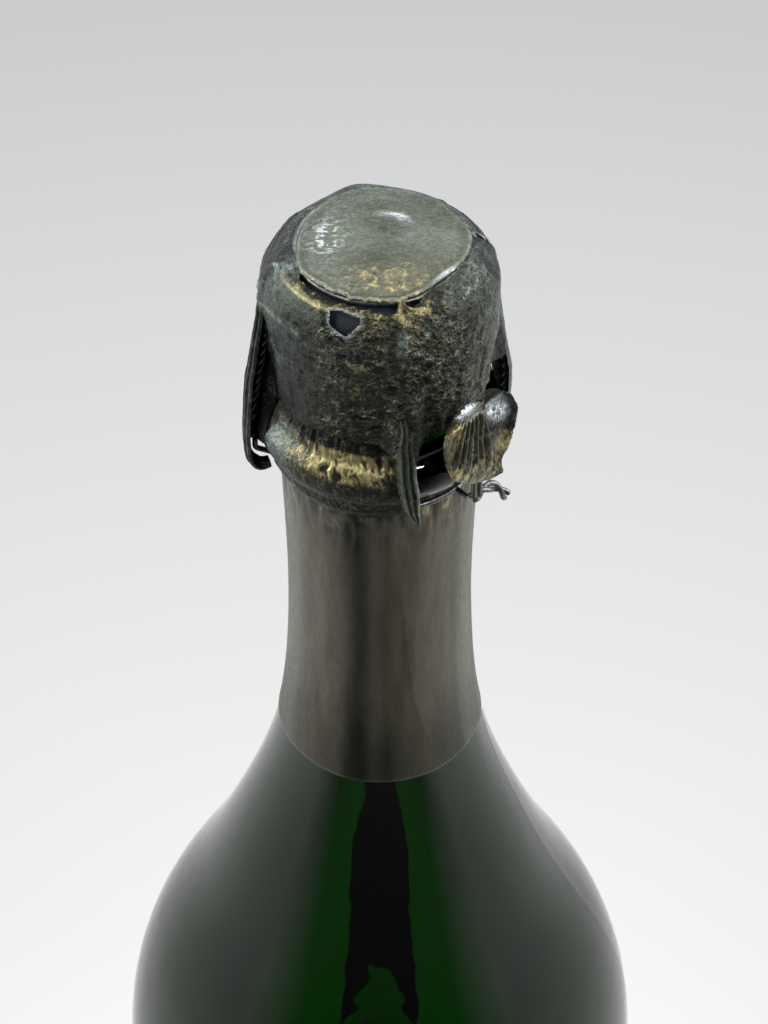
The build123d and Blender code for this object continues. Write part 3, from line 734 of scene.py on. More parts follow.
def hood_skirt():
    """Side of the hood: ledge under the crown, brow, and the wall pulled over cork and cage."""
    azimuth = np.arange(SKIRT_COLS) * 360 / SKIRT_COLS
    places, radii, heights, out_r, out_z = outline_samples(SKIRT_OUTLINE, 900)
    total = places[-1]
    share = np.linspace(0, 1, SKIRT_ROWS) ** 1.15
    turn, down = np.meshgrid(azimuth, share)
    torn = crack_share(turn)
    edge_walk = ring_points(turn, SKIRT_WALK, 0)
    ragged = 0.3 * layered_noise(edge_walk, 1.7, 61) + 0.26 * smooth_noise(edge_walk, 0.42, 67)
    bridge = near(turn, 13, 2.6)
    start = CRACK_WIDTH + ragged - 1.6 * bridge + crown_edge(turn) - CROWN_RADIUS
    start = torn * np.maximum(start, 0.1)
    run = start + (total - start) * down
    flat_u = arc_length(turn, TEAR_AZIMUTH, FLAT_RADIUS)
    gap, near_u, near_v = outline_distance(flat_u, run, TEAR_CORNERS)
    snap = np.abs(gap) < SNAP_REACH
    run = np.where(snap, near_v, run)
    turn = np.where(snap, TEAR_AZIMUTH + near_u / FLAT_RADIUS / radians(1), turn)
    gap = np.where(snap, 0, gap)
    radius, height = np.interp(run, places, radii), np.interp(run, places, heights)
    normal_r, normal_z = np.interp(run, places, out_r), np.interp(run, places, out_z)
    base = ring_points(turn, radius, height)
    front = near(turn, 8, 60)
    low = ease(height, 313, 302)
    flutter = base + 0.5 * smooth_noise(base, 2.5, 77)[..., None]
    wrinkles = creased_noise(flutter * (1, 1, 1.7), 1.5, 81, 3)
    gathers = creased_noise(flutter * (1, 1, 0.28), 2.0, 101, 2)
    relief = (
        0.14 * layered_noise(base, 6.0, 71)
        + (0.035 + 0.075 * front * ease(height, 316.5, 313)) * wrinkles
        + 0.03 * creased_noise(flutter, 0.75, 91, 2)
        + (0.05 + 0.1 * low) * gathers * ease(height, 311, 303)
    )
    brow = 0.14 * hump(run, 2.95, 0.3) - 0.2 * hump(run, 1.9, 0.6) * torn
    crust = hump(run, 2.1, 1.0) * torn * (0.2 + 0.8 * ease(turn_from(turn, 0), -35, -15))
    crust = crust + 0.45 * front * ease(height, 312.5, 315.5)
    relief = relief + 0.13 * crust * creased_noise(base, 0.75, 131, 2)
    relief = relief * ease(run - start, 0, 1.0) + brow
    over_back_leg = near(turn, LEG_AZIMUTHS["back"], 14)
    round_back = ease(np.abs(turn_from(turn, 0)), 66, 110) * (1 - 0.55 * over_back_leg)
    sunk = round_back * hump(run, 3.7, 3.4)
    relief = relief * (1 - 0.7 * sunk) - BACK_SUNK * sunk
    grow = np.maximum(relief, -0.2 - sunk) + 0.04 - 0.1 * ease(height, 297.5, 294.8)
    pale = np.zeros_like(turn)
    gilt = np.zeros_like(turn)
    for corners, crest, width, paleness in CREASES:
        mid = corners[len(corners) // 2][0]
        line = [(arc_length(at, mid, FLAT_RADIUS), length) for at, length in corners]
        here = arc_length(turn, mid, FLAT_RADIUS) + 0.18 * smooth_noise(base, 1.6, 121)
        ridge = hump(outline_distance(here, run, line, False)[0], 0, width)
        grow = grow + crest * ridge
        pale = np.maximum(pale, paleness * ridge)
        if paleness == 0:
            gilt = np.maximum(gilt, ridge * ease(run, 4.2, 2.6))
    for side, centre in LEG_AZIMUTHS.items():
        over = centre - (2.0 if side == "front" else 0)
        across = arc_length(turn, over, radius) + 0.3 * smooth_noise(base, 4.0, 111)
        crest = {"left": 0.5, "back": 0.1}.get(side, 0.22)
        grow = grow + crest * hump(across, 0, 0.8) * ease(run, 2.0, 4.0) * ease(height, 302, 309)
        below = LEG_SIDE_FOOT - np.minimum(height, LEG_SIDE_FOOT)
        spread = (LEG_RING_RADIUS - LEG_SIDE_RADIUS) / (LEG_SIDE_FOOT - LEG_KNEE_HEIGHT)
        leg = LEG_SIDE_RADIUS + below * spread
        tent = np.maximum(leg + WIRE_COVER - radius, 0) * ease(height, 309.5, 306.5)
        if side != "left":
            grow = grow + tent * ease(np.abs(across), 3.2, 0.9)
    lip = ease(gap, 0.75, 0.1) * (gap >= 0)
    grow = grow + 0.16 * lip
    radius, height = radius + normal_r * grow, height + normal_z * grow
    height = np.minimum(height, HOOD_TOP - 0.25) - 0.2 * ease(run - start, 0.5, 0) * torn
    grid = ring_points(turn, radius, height)
    centre_gap = (gap[:-1] + gap[1:]) / 2
    centre_gap = (centre_gap + np.roll(centre_gap, -1, axis=1)) / 2
    keep = centre_gap > -0.02
    left = arc_length(turn, LEG_AZIMUTHS["left"], WALL_RADIUS)
    slot = (np.abs(left) < SLOT_HALF) & (height < SLOT_TOP)
    keep &= ~(slot[:-1] & slot[1:] & np.roll(slot[:-1], -1, axis=1))
    ledge = hump(run, 2.0, 0.9) * torn
    # Painted highlight line along the brow's edge, laid on the left side in gold below
    brow_line = hump(run, 2.95, 0.2) * torn
    spots = sum(
        hump(np.hypot(arc_length(turn, at, WALL_RADIUS), height - up), 0, size)
        for at, up, size in GREY_SPOTS
    )
    # Painted highlight on the brow at the right
    right_brow_highlight = near(turn, 55, 12) * hump(run, 3.2, 0.35)
    crisp = ease(wrinkles, 0.35, 1.3)
    # Painted sheen on the left and right sides
    sides = hump(np.abs(turn_from(turn, 4)), 88, 30) * ease(height, 296, 304)
    # Painted sheen: paler round the back
    rear = hump(np.abs(turn_from(turn, 0)), 180, 75) * ease(run, 6.0, 3.0)
    turning = turn_from(turn, 0) + 5 * smooth_noise(base, 3.0, 141)
    leftward = ease(turning, -12, -24)
    calm = 0.9 * np.maximum(ease(turning, -26, -40), 0.6 * ease(turning, 80, 110))
    calm = calm * ease(run, 1.9, 2.8)
    # Gold on the ledge and creases is rubbed lacquer; on the brow's edge and the front's wrinkles
    # it is painted highlight and glints
    gold = 1.7 * ledge + 5.0 * brow_line * leftward + 3.0 * gilt + 0.65 * front * crisp * (1 - calm)
    dust_and_sheen = 0.03 + 0.7 * ease(spots, 0.35, 0.7) + 0.3 * right_brow_highlight + pale + 0.6 * lip
    # Painted shade in the dips and down the front of the wall
    soot_and_shade = 0.8 * ease(relief, 0.0, -0.12) + 0.45 * front * ease(height, 314, 309)
    tints = {
        "gold": np.clip(gold + 0.03, 0, 5),
        "dust_and_sheen": np.clip(dust_and_sheen + 0.42 * sides + 2.1 * rear, 0, 2.1),
        "tin_and_glint": np.clip(0.8 * right_brow_highlight * ease(wrinkles, 0.4, 1.0) + 0.25 * lip, 0, 1),
        "calm": calm,
        "soot_and_shade": np.clip(soot_and_shade - 0.9 * lip - gilt - spots, 0, 0.85),
    }
    return foil_piece("hood_skirt", grid, True, HOOD_FOIL, tints, keep)


dress(hood_crown(), "hood", "bronze_foil", "foil_hood")
dress(hood_skirt(), "hood", "bronze_foil", "foil_hood")


# Foil round the ring

WRAPS = {
    "ring_foil_front_left": (-73.0, 12.5),
    "ring_foil_back_left": (200.0, 250.0),
    "ring_foil_back_right": (109.0, 188.0),
}
WRAP_ROWS, WRAP_COLS = 116, 250
# Radius at which noise that runs round the ring is read, and how far the foil's face stands off
# the glass
WRAP_WALK, WRAP_GAP = 17.0, 0.22


def wrap_outline():
    """Outline of the foil over the ring, from the lip down over the belt to its hem on the neck."""
    outline = [(14.45, 294.2), (14.85, 293.3)]
    section = RING_SECTION + WRAP_GAP
    for angle in range(52, -49, -10):
        out, up = section * cos(radians(angle)), section * sin(radians(angle))
        outline.append((RING_CORE_RADIUS + out, RING_HEIGHT + up))
    return outline + [(15.75, 282.9), (15.62, 281.6), (15.2, 280.8), (14.65, 280.2), (14.5, 279.5)]


def ring_wrap(name, start, end, salt):
    """Foil stuck over the ring and the belt, drawn in under it in small pleats."""
    places, radii, heights, out_r, out_z = outline_samples(wrap_outline(), 600)
    total = places[-1]
    share = np.linspace(0, 1, WRAP_ROWS)
    turn, down = np.meshgrid(np.linspace(start, end, WRAP_COLS), share)
    walk = ring_points(turn, WRAP_WALK, 0)
    run = total * down * (1 - 0.03 * (1 + layered_noise(walk, 3.0, salt)))
    side_gap = np.minimum(turn - start, end - turn) * radians(1) * WRAP_WALK
    upright = np.stack([0 * run, 0 * run, run], axis=-1)
    ragged = layered_noise(upright, 2.2, salt + (turn[0, 0] > 0))
    turn = turn + 2.4 * (1 - ease(side_gap, 0, 1.5)) * ragged
    radius, height = np.interp(run, places, radii), np.interp(run, places, heights)
    normal_r, normal_z = np.interp(run, places, out_r), np.interp(run, places, out_z)
    base = ring_points(turn, radius, height)
    slant = ring_points(turn + 1.6 * (height - 288), radius, height * 0.2)
    slant = slant + 0.3 * smooth_noise(base, 2.0, salt + 3)[..., None]
    pleat = creased_noise(slant, 1.0, salt + 5, 2)
    belly = hump(run, 0.4 * total, 0.25 * total)
    throat = hump(run, 1.6, 1.8)
    drawn_in = ring_points(turn, WRAP_WALK, height * 0.12)
    gathers = creased_noise(drawn_in, 0.9, salt + 31, 2)
    if start < 0:
        patch = near(turn, -17, 19) * ease(run, 1.8, 2.4) * ease(run, 7.0, 5.2)
    else:
        patch = 0 * run
    relief = (
        0.12 * layered_noise(base, 5.0, salt + 11)
        + (0.01 + 0.02 * belly + 0.13 * patch) * pleat
        + (0.02 + 0.09 * throat) * gathers
        + 0.015 * creased_noise(base, 0.9, salt + 21, 2)
    )
    groove = 0.18 * hump(run, 0.2 * total, 0.5) * near(turn, -18, 30)
    relief = np.maximum(relief, -0.13) - groove
    grid = ring_points(turn, radius + normal_r * relief, height + normal_z * relief)
    # Painted highlight: paler on the left of the front wrap and along the belly of the others
    if start < 0:
        pale = near(turn, -62, 15) * hump(run, 5.2, 2.6)
    else:
        patch = 0.4 * near(turn, (start + end) / 2, 20) * hump(run, 5.0, 2.0)
        pale = 0.3 * belly
    # Painted shade under the ring and in the throat under the hood
    soot_and_shade = 0.7 * ease(run, 6.2, 9.5) + 0.7 * ease(run, 2.4, 1.2)
    tints = {
        # Painted highlight in gold on the patch's pleat crests, and painted shade in its pleats'
        # valleys
        "gold": np.clip(9.0 * patch * ease(pleat, -0.7, 0.4) + 0.1, 0, 6.4),
        "calm": np.clip(1.2 * patch, 0, 1),
        "dust_and_sheen": np.clip(0.04 + 0.9 * pale, 0, 1),
        "soot_and_shade": np.clip(soot_and_shade + 0.4 * patch * ease(pleat, 0.0, -0.5) - 0.7 * pale, 0, 0.8),
    }
    return foil_piece(name, grid, False, RING_FOIL, tints)


for index, (name, (start, end)) in enumerate(WRAPS.items()):
    wrap = ring_wrap(name + "_crinkled", start, end, 200 + 40 * index)
    dress(wrap, "bottle", "bronze_foil", name)


# Neck foil

NECK_FOIL_FOOT, NECK_FOIL_TOP, NECK_FOIL_GAP = 222.9, 282.55, 0.2
NECK_TOP_HEIGHT, NECK_TOP_RADIUS = 282.84, 14.0
# One crease runs down the neck's front: millimetres to the right, and height
LONG_CREASE = [(1.5, 274.0), (3.4, 262.0), (4.2, 250.0), (5.2, 239.0), (7.0, 231.0)]
NECK_ROWS, NECK_COLS = 124, 320
# Radius at which noise that runs round the neck is read
NECK_WALK = 15.0


def neck_radius(height):
    """Radius of the glass at a height on the neck or shoulder."""
    above = ease(height, WAIST_HEIGHT, NECK_TOP_HEIGHT)
    return np.where(
        height < WAIST_HEIGHT,
        shoulder_radius(height, BODY_RADIUS, WAIST_RADIUS),
        WAIST_RADIUS + (NECK_TOP_RADIUS - WAIST_RADIUS) * above,
    )


def neck_sleeve():
    """Foil sleeve on the neck: smooth, gathered a little under the ring, with long soft creases."""
    azimuth = np.arange(NECK_COLS) * 360 / NECK_COLS
    share = np.linspace(0, 1, NECK_ROWS)
    turn, down = np.meshgrid(azimuth, share)
    walk = ring_points(turn, NECK_WALK, 0)
    foot = NECK_FOIL_FOOT + 0.15 + 0.12 * layered_noise(walk, 6.0, 301)
    height = NECK_FOIL_TOP + (foot - NECK_FOIL_TOP) * down
    radius = neck_radius(height) + NECK_FOIL_GAP
    base = ring_points(turn, radius, height)
    top = ease(height, 268, 281)
    relief = (
        0.05 * layered_noise(base * (1, 1, 0.3), 9.0, 311)
        + 0.02 * creased_noise(base * (1, 1, 0.12), 3.0, 321, 2)
        + 0.1 * top * creased_noise(base * (1, 1, 0.3), 1.5, 331, 3)
        + 0.01 * creased_noise(base * (1, 1, 0.4), 1.0, 341, 2)
    )
    to_right = arc_length(turn, 0, NECK_TOP_RADIUS)
    crease = hump(outline_distance(to_right, height, LONG_CREASE, False)[0], 0, 0.3)
    relief = np.clip(relief, -0.07, 0.2) + 0.05 * crease
    grid = ring_points(turn, radius + relief, height)
    turning = turn_from(turn, 0)
    # Painted reflections: dark and pale bands down the neck, with weaker random ones further round
    streaks = layered_noise(walk, 3.2, 351)
    dark_reflection_band = (
        0.75 * hump(turning, -13, 7) + 0.35 * hump(turning, 4, 5) + 0.3 * hump(turning, 52, 5)
        + 0.3 * ease(streaks, 0.2, 0.9) * ease(np.abs(turning), 60, 90)
    )
    pale_reflection_band = (
        hump(turning, -66, 11) + 0.85 * hump(turning, 64, 12)
        + 0.5 * ease(-streaks, 0.2, 0.9) * ease(np.abs(turning), 80, 110)
    )
    hem = 0.5 * ease(down, 0.992, 1.0)
    # Painted shadow just under the ring's hem, and darker towards the foot
    darker_top_and_foot = 0.6 * ease(height, 279.5, 281.5) + 0.4 * ease(height, 242, 226)
    tints = {
        "gold": np.clip(0.7 * top * ease(relief, 0.05, 0.14), 0, 1),
        "dust_and_sheen": np.clip(
            0.03 + hem + 0.45 * pale_reflection_band * (0.75 + 0.25 * smooth_noise(base, 9, 361)), 0, 1
        ),
        "calm": 1 - top,
        "soot_and_shade": np.clip(
            darker_top_and_foot + 0.7 * top * ease(relief, 0.03, -0.05) + 0.85 * dark_reflection_band, 0, 0.85
        ),
    }
    return foil_piece("neck_foil_sleeve", grid, True, NECK_FOIL, tints)


dress(neck_sleeve(), "bottle", "bronze_foil", "neck_foil")


# Foil strips over the cage's legs

STRIP_ROWS, STRIP_COLS, WEB_COLS = 130, 46, 14
# Each strip from its top down: radius and height of its path, then azimuths of its two edges
STRIPS = {
    "front": (
        (17.0, 300.6, 7.8, 14.2), (17.9, 297.8, 7.3, 14.8), (18.75, 293.6, 6.9, 15.3),
        (19.15, 290.0, 7.2, 15.8), (19.15, 287.0, 8.6, 16.4), (18.8, 284.2, 11.0, 17.0),
        (18.2, 282.5, 14.0, 17.6), (17.8, 281.3, 16.2, 17.8),
    ),
    "left": (
        (16.5, 311.0, -80.0, -73.0), (16.85, 308.5, -80.5, -72.5), (17.65, 303.5, -81.0, -72.0),
        (18.75, 296.5, -82.0, -71.5), (19.2, 292.0, -82.0, -71.0), (19.4, 288.0, -82.0, -71.0),
        (19.4, 284.0, -82.0, -71.5), (19.1, 281.4, -81.5, -72.0), (18.2, 279.9, -81.0, -72.5),
        (17.0, 279.3, -80.5, -73.0), (15.9, 279.8, -80.0, -73.5),
    ),
    "right": (
        (16.4, 308.5, 100.0, 109.5), (16.9, 303.5, 99.5, 110.0), (17.85, 297.5, 99.5, 110.0),
        (18.8, 291.5, 99.5, 109.5), (18.9, 287.0, 100.5, 108.5), (18.65, 283.5, 102.0, 106.5),
    ),
    "back": (
        (16.4, 308.5, 190.0, 199.0), (16.9, 303.5, 189.5, 199.0), (17.85, 297.5, 189.5, 199.5),
        (18.8, 291.5, 189.5, 199.0), (18.9, 287.0, 190.5, 198.0), (18.65, 283.5, 192.0, 196.5),
    ),
}
# Rounds of smoothing that a strip's path gets
PATH_ROUNDS = 14
# Height of the gold crease across the front strip, where it bends over the ring
BEND_CREASE = 287.6
# Edge that a web of foil joins to the hood: 0 is the strip's first edge and 1 its last
FAR_EDGE = {"left": 0, "right": 1, "back": 1}
# Height and radius of what the webs reach in to: the ring's foil and the hood's wall
WEB_WALL = (
    (283, 17.2), (287, 17.7), (290.5, 17.1), (294.8, 15.35), (301.5, 15.75), (308.5, 16.25),
    (311.8, 16.35),
)
# How many degrees a web's inner edge turns aside, and what its attributes paint; the left web is
# painted dark as shade
WEB_TURN = {"left": 15, "right": 0, "back": 0}
WEB_TINTS = {
    "left": {"gold": 0.0, "dust_and_sheen": 0.0, "soot_and_shade": 1.3},
    "right": {"gold": 0.0, "dust_and_sheen": 0.7, "soot_and_shade": 0.0},
    "back": {"gold": 0.0, "dust_and_sheen": 0.7, "soot_and_shade": 0.0},
}


def leg_strip(side, path, salt):
    """Pleated strip of foil over one leg of the cage. A web joins each but the front one to the
    hood's wall."""
    path = np.array(path, float)
    lengths = np.concatenate([[0], np.cumsum(np.hypot(*np.diff(path[:, :2], axis=0).T))])
    along = np.linspace(0, lengths[-1], STRIP_ROWS)
    centre, height, first, last = (np.interp(along, lengths, column) for column in path.T)
    for line in (centre, height, first, last):
        for _ in range(PATH_ROUNDS):
            line[1:-1] = (line[:-2] + 2 * line[1:-1] + line[2:]) / 4
    slope_r, slope_z = np.gradient(centre), np.gradient(height)
    steep = np.hypot(slope_r, slope_z)
    out_r, out_z = -slope_z / steep, slope_r / steep
    across, row = np.meshgrid(np.linspace(-1, 1, STRIP_COLS), np.arange(STRIP_ROWS))
    down = row / (STRIP_ROWS - 1)
    azimuth = first[row] + (last - first)[row] * (across + 1) / 2
    spot = ring_points(azimuth, centre[row], height[row])
    azimuth = azimuth + 0.5 * smooth_noise(spot * (0, 0, 1), 2.6, salt)
    azimuth = azimuth + 0.2 * smooth_noise(spot, 0.9, salt + 1)
    drift = 0.1 * smooth_noise(spot * (1, 1, 0.5), 3.0, salt + 7)
    phase = (across * 1.5 + 0.42 + drift) % 1.0
    fold = np.where(phase < 0.7, ease(phase, 0, 0.7), ease(phase, 1.0, 0.7))
    edge = ease(np.abs(across), 1.0, 0.8)
    crumpled = layered_noise(spot + across[..., None] * (1.5, 0.5, 0), 2.4, salt + 3)
    crossing = hump(spot[..., 2] + 0.6 * across, BEND_CREASE, 0.22) if side == "front" else 0
    relief = 0.3 * fold * edge + 0.07 * crumpled + 0.2 * crossing
    flange = ease(across, 0.5, 0.85) * ease(down, 0.25, 0.5) if side == "front" else 0 * across
    relief = relief + 0.4 * flange - 0.35 * across**2
    radius, up = centre[row] + out_r[row] * relief, height[row] + out_z[row] * relief
    # The right and back strips are paler, the left one darker
    paler_right_and_back, darker_left = 0.4 * (side in ("right", "back")), 0.45 * (side == "left")
    # Painted highlight on the pleats' crests and the front strip's flange, painted shade in the
    # pleats' valleys
    tints = {
        "gold": np.clip(0.25 * ease(relief, 0.12, 0.3) + 0.5 * crossing + 0.05, 0, 1),
        "dust_and_sheen": np.clip(0.15 + 1.3 * flange + 0.4 * ease(fold, 0.7, 1.0) + paler_right_and_back, 0, 1),
        "soot_and_shade": np.clip(0.6 * ease(fold, 0.5, 0.0) * edge + darker_left, 0, 0.85),
    }
    if side in FAR_EDGE:
        if FAR_EDGE[side]:
            azimuth, radius, up = azimuth[:, ::-1], radius[:, ::-1], up[:, ::-1]
            tints = {label: tint[:, ::-1] for label, tint in tints.items()}
        share, row = np.meshgrid(np.linspace(0, 1, WEB_COLS, endpoint=False), np.arange(STRIP_ROWS))
        wall = np.interp(height, *np.array(WEB_WALL).T)
        reach = 0.35 + np.maximum(centre - wall - 0.25, 0) * ease(height, 283.3, 284.6)
        inner = radius[:, :1] - reach[:, None] * out_r[:, None]
        inner_up = up[:, :1] - reach[:, None] * out_z[:, None]
        inwards = ring_points(azimuth[row, 0], share * 6, up[row, 0])
        ripple = 0.5 * layered_noise(inwards, 2.0, salt + 11)
        turned_in = (1 - share) * ease(height[row], 302, 296) * ease(height[row], 283.5, 286.5)
        web_azimuth = azimuth[:, :1] + ripple * share + turned_in * WEB_TURN[side]
        azimuth = np.hstack([web_azimuth, azimuth])
        radius = np.hstack([inner + (radius[:, :1] - inner) * share, radius])
        up = np.hstack([inner_up + (up[:, :1] - inner_up) * share, up])
        for label, shade in WEB_TINTS[side].items():
            tints[label] = np.hstack([np.full(share.shape, shade), tints[label]])
    grid = ring_points(azimuth, radius, up)
    if FAR_EDGE.get(side):
        grid = grid[:, ::-1]
        tints = {label: tint[:, ::-1] for label, tint in tints.items()}
    name = "leg_foil_" + side + "_pleated"
    return foil_piece(name, grid, False, STRIP_FOIL, tints, skin=STRIP_SKIN)


for index, (side, path) in enumerate(STRIPS.items()):
    dress(leg_strip(side, path, 400 + 20 * index), "cage", "bronze_foil", "leg_foil_" + side)


# Leaf of foil over the key

LEAF_ROWS, LEAF_COLS = 130, 140
LEAF_PLANE = 19.95
LEAF_FOOT, LEAF_RISE, LEAF_SLANT = 286.4, 17.2, 0.55
# Left and right edge of the leaf, in millimetres from the key's middle, at shares of its rise
LEAF_LEFT = (
    (0, -4.0), (0.05, -5.2), (0.18, -7.1), (0.31, -7.8), (0.48, -7.9), (0.64, -7.4), (0.75, -6.0),
    (0.85, -3.9), (0.93, -1.4), (1, 1.2),
)
LEAF_RIGHT = (
    (0, 1.6), (0.05, 3.6), (0.12, 4.1), (0.21, 3.8), (0.36, 4.8), (0.58, 5.6), (0.72, 6.1),
    (0.82, 6.1), (0.9, 5.3), (0.96, 4.2), (1, 2.8),
)
# Course of the ridge over the key's wire: height, and millimetres to the right of a line that
# lies this far from the key's middle
LEAF_RIDGE, RIDGE_SHIFT = ((288, 2.8), (292, 1.9), (298, 0.3), (303, -0.5)), -0.5


def key_leaf():
    """Leaf of foil crumpled over the folded key, with pleats that fan out down from its top."""
    u, v = np.meshgrid(np.linspace(-1, 1, LEAF_COLS), np.linspace(0, 1, LEAF_ROWS))
    left = smooth_through(*np.array(LEAF_LEFT, float).T, v)
    right = smooth_through(*np.array(LEAF_RIGHT, float).T, v)
    side = (left + right) / 2 + (right - left) / 2 * u
    torn = smooth_noise(np.stack([side, 0 * v, 9 * v], axis=-1), 1.2, 505)
    slanted = LEAF_FOOT + LEAF_RISE * v + 0.12 * torn
    height = slanted - LEAF_SLANT * side
    place = np.stack([side, height, 0 * side], axis=-1)
    spread = (side + 1.2) / (1 + 0.1 * np.maximum(298.5 - slanted, -3))
    phase = (spread * 1.35 + 0.1 * smooth_noise(place * (1, 0.5, 1), 2.5, 501)) % 1.0
    fold = np.where(phase < 0.62, ease(phase, 0, 0.62), ease(phase, 1.0, 0.62))
    ridge_side = RIDGE_SHIFT + np.interp(slanted, *np.array(LEAF_RIDGE).T)
    front_part = ease(side - ridge_side, 0.5, -0.3)
    pleats = front_part * ease(v, 0.1, 0.3) * ease(v, 0.82, 0.68) * ease(-u, 0.97, 0.78)
    ridge = hump(side, ridge_side, 0.55) * ease(v, 0.05, 0.2)
    valley = (1 - front_part) * ease(u, 1.0, 0.75)
    out = (
        0.45 * fold * pleats + 0.55 * ridge - 0.3 * valley
        + 0.35 * hump(v, 0.2, 0.18) * (1 - u**2)
        + 0.06 * creased_noise(place, 1.5, 511, 2)
        + 0.05 * creased_noise(place, 0.7, 521, 2) * (1 - pleats)
        + 0.45 * ease(u, 0.8, 1.0) * ease(v, 0.2, 0.6)
    )
    silver = hump(u, -0.9, 0.35) * hump(v, 0.8, 0.06) + hump(side, 2.6, 1.6) * hump(v, 0.76, 0.08)
    silver = silver + 0.35 * hump(u, -0.97, 0.1) * hump(v, 0.47, 0.04)
    out = out + 0.28 * silver * creased_noise(place, 0.9, 531, 2)
    tuck = (
        -1.3 * ease(-side, 5.4, 8.0) - 1.8 * ease(height, 299.9, 303.0) - 0.5 * ease(v, 0.06, 0.0)
    )
    side, height = side - 1.1 * tuck, height + 1.35 * tuck
    plane = LEAF_PLANE + tuck + out
    turn = KEY_AZIMUTH + np.degrees(np.arctan2(side, plane))
    grid = ring_points(turn, np.hypot(plane, side), height)
    gilt = hump(u, 0.85, 0.3) * hump(v, 0.4, 0.1) + 0.7 * hump(u, -0.85, 0.25) * hump(v, 0.62, 0.08)
    # Painted highlight on the pleats' crests, painted shade in their valleys and in the hollow on
    # the right
    tints = {
        "gold": np.clip(0.9 * ease(v, 0.3, 0.08) + 0.5 * front_part + 4.0 * gilt, 0, 3.5),
        "dust_and_sheen": np.clip(
            0.3 * front_part * ease(fold, 0.4, 0.9) + 0.5 * hump(u, 0.4, 0.4) * hump(v, 0.92, 0.07),
            0, 1,
        ),
        "tin_and_glint": np.clip(3.0 * silver, 0, 2.5),
        "soot_and_shade": np.clip(
            0.75 * ease(fold, 0.4, 0.0) * pleats + 0.6 * valley * (1 - ease(v, 0.3, 0.1))
            - silver - gilt,
            0, 0.8,
        ),
    }
    tints = {label: tint[::-1] for label, tint in tints.items()}
    return foil_piece("key_foil_leaf", grid[::-1], False, STRIP_FOIL, tints, skin=STRIP_SKIN)


dress(key_leaf(), "key", "bronze_foil", "key_foil")


# Twisted wires

def twisted_pair_tree():
    """Geometry Nodes tree that lays two strands round each other along a curve."""
    tree = bpy.data.node_groups.new("twisted_pair", "GeometryNodeTree")
    for label, kind in (
        ("Geometry", "NodeSocketGeometry"), ("Strand Radius", "NodeSocketFloat"),
        ("Offset", "NodeSocketFloat"), ("Pitch", "NodeSocketFloat"), ("Wire", "NodeSocketMaterial"),
    ):
        tree.interface.new_socket(label, in_out="INPUT", socket_type=kind)
    tree.interface.new_socket("Geometry", in_out="OUTPUT", socket_type="NodeSocketGeometry")

    def add(kind, settings=None, **inputs):
        return add_node(tree, kind, settings, **inputs)

    given = add("NodeGroupInput").outputs
    fine = add(
        "GeometryNodeResampleCurve", {"mode": "LENGTH"}, Curve=given["Geometry"], Length=0.3 * MM
    )
    length = add("GeometryNodeSplineParameter").outputs["Length"]
    turns = add("ShaderNodeMath", DIVIDE, n0=length, n1=given["Pitch"])
    angle = add("ShaderNodeMath", TIMES, n0=turns, n1=tau)
    normal = add("GeometryNodeInputNormal")
    tangent = add("GeometryNodeInputTangent")
    side = add("ShaderNodeVectorMath", {"operation": "CROSS_PRODUCT"}, n0=tangent, n1=normal)
    join = add("GeometryNodeJoinGeometry")
    profile = add("GeometryNodeCurvePrimitiveCircle", Resolution=10, Radius=given["Strand Radius"])
    for half in (0.0, pi):
        phase = add("ShaderNodeMath", {"operation": "ADD"}, n0=angle, n1=half)
        reaches = []
        for kind, direction in (("COSINE", normal), ("SINE", side)):
            swing = add("ShaderNodeMath", {"operation": kind}, n0=phase)
            swing = add("ShaderNodeMath", TIMES, n0=swing, n1=given["Offset"])
            reaches.append(
                add("ShaderNodeVectorMath", {"operation": "SCALE"}, n0=direction, Scale=swing)
            )
        shift = add("ShaderNodeVectorMath", {"operation": "ADD"}, n0=reaches[0], n1=reaches[1])
        strand = add("GeometryNodeSetPosition", Geometry=fine, Offset=shift)
        wire = add("GeometryNodeCurveToMesh", Curve=strand, Profile_Curve=profile, Fill_Caps=True)
        tree.links.new(wire.outputs[0], join.inputs[0])
    realized = add("GeometryNodeRealizeInstances", Geometry=join)
    wired = add("GeometryNodeSetMaterial", Geometry=realized, Material=given["Wire"])
    add("NodeGroupOutput", Geometry=wired)
    return tree


TWISTED_PAIR = twisted_pair_tree()


def twisted_wire(name, run, strand, offset, pitch):
    """Twisted pair of strands along a run of (azimuth, radius, height) with rounded bends."""
    curve = bpy.data.curves.new(name, "CURVE")
    curve.dimensions = "3D"
    spline = curve.splines.new("NURBS")
    spline.points.add(len(run) - 1)
    for point, place in zip(spline.points, run):
        point.co = (*(ring_points(*place) * MM), 1)
    spline.order_u = 3
    spline.use_endpoint_u = True
    spline.resolution_u = 12
    piece = bpy.data.objects.new(name, curve)
    bpy.context.collection.objects.link(piece)
    nodes = piece.modifiers.new("twist", "NODES")
    nodes.node_group = TWISTED_PAIR
    wanted = {
        "Strand Radius": strand * MM, "Offset": offset * MM, "Pitch": pitch * MM, "Wire": WIRE,
    }
    for item in TWISTED_PAIR.interface.items_tree:
        if item.in_out == "INPUT" and item.name in wanted:
            nodes[item.identifier] = wanted[item.name]
    made = plain_mesh(piece)
    made.data.shade_smooth()
    return made


# Run of a leg's wire, from the top ring over the cork's brow to the belt's foot loop beside the
# ring: radius and height
LEG_RUN = (
    (11.35, 316.75), (12.6, 316.52), (14.4, 315.3), (14.75, 314.7), (15.3, 312.2), (15.35, 311.0),
    (15.35, 308.4), (15.45, 307.1), (17.9, 292.4), (18.05, 291.2), (18.05, 285.0),
)
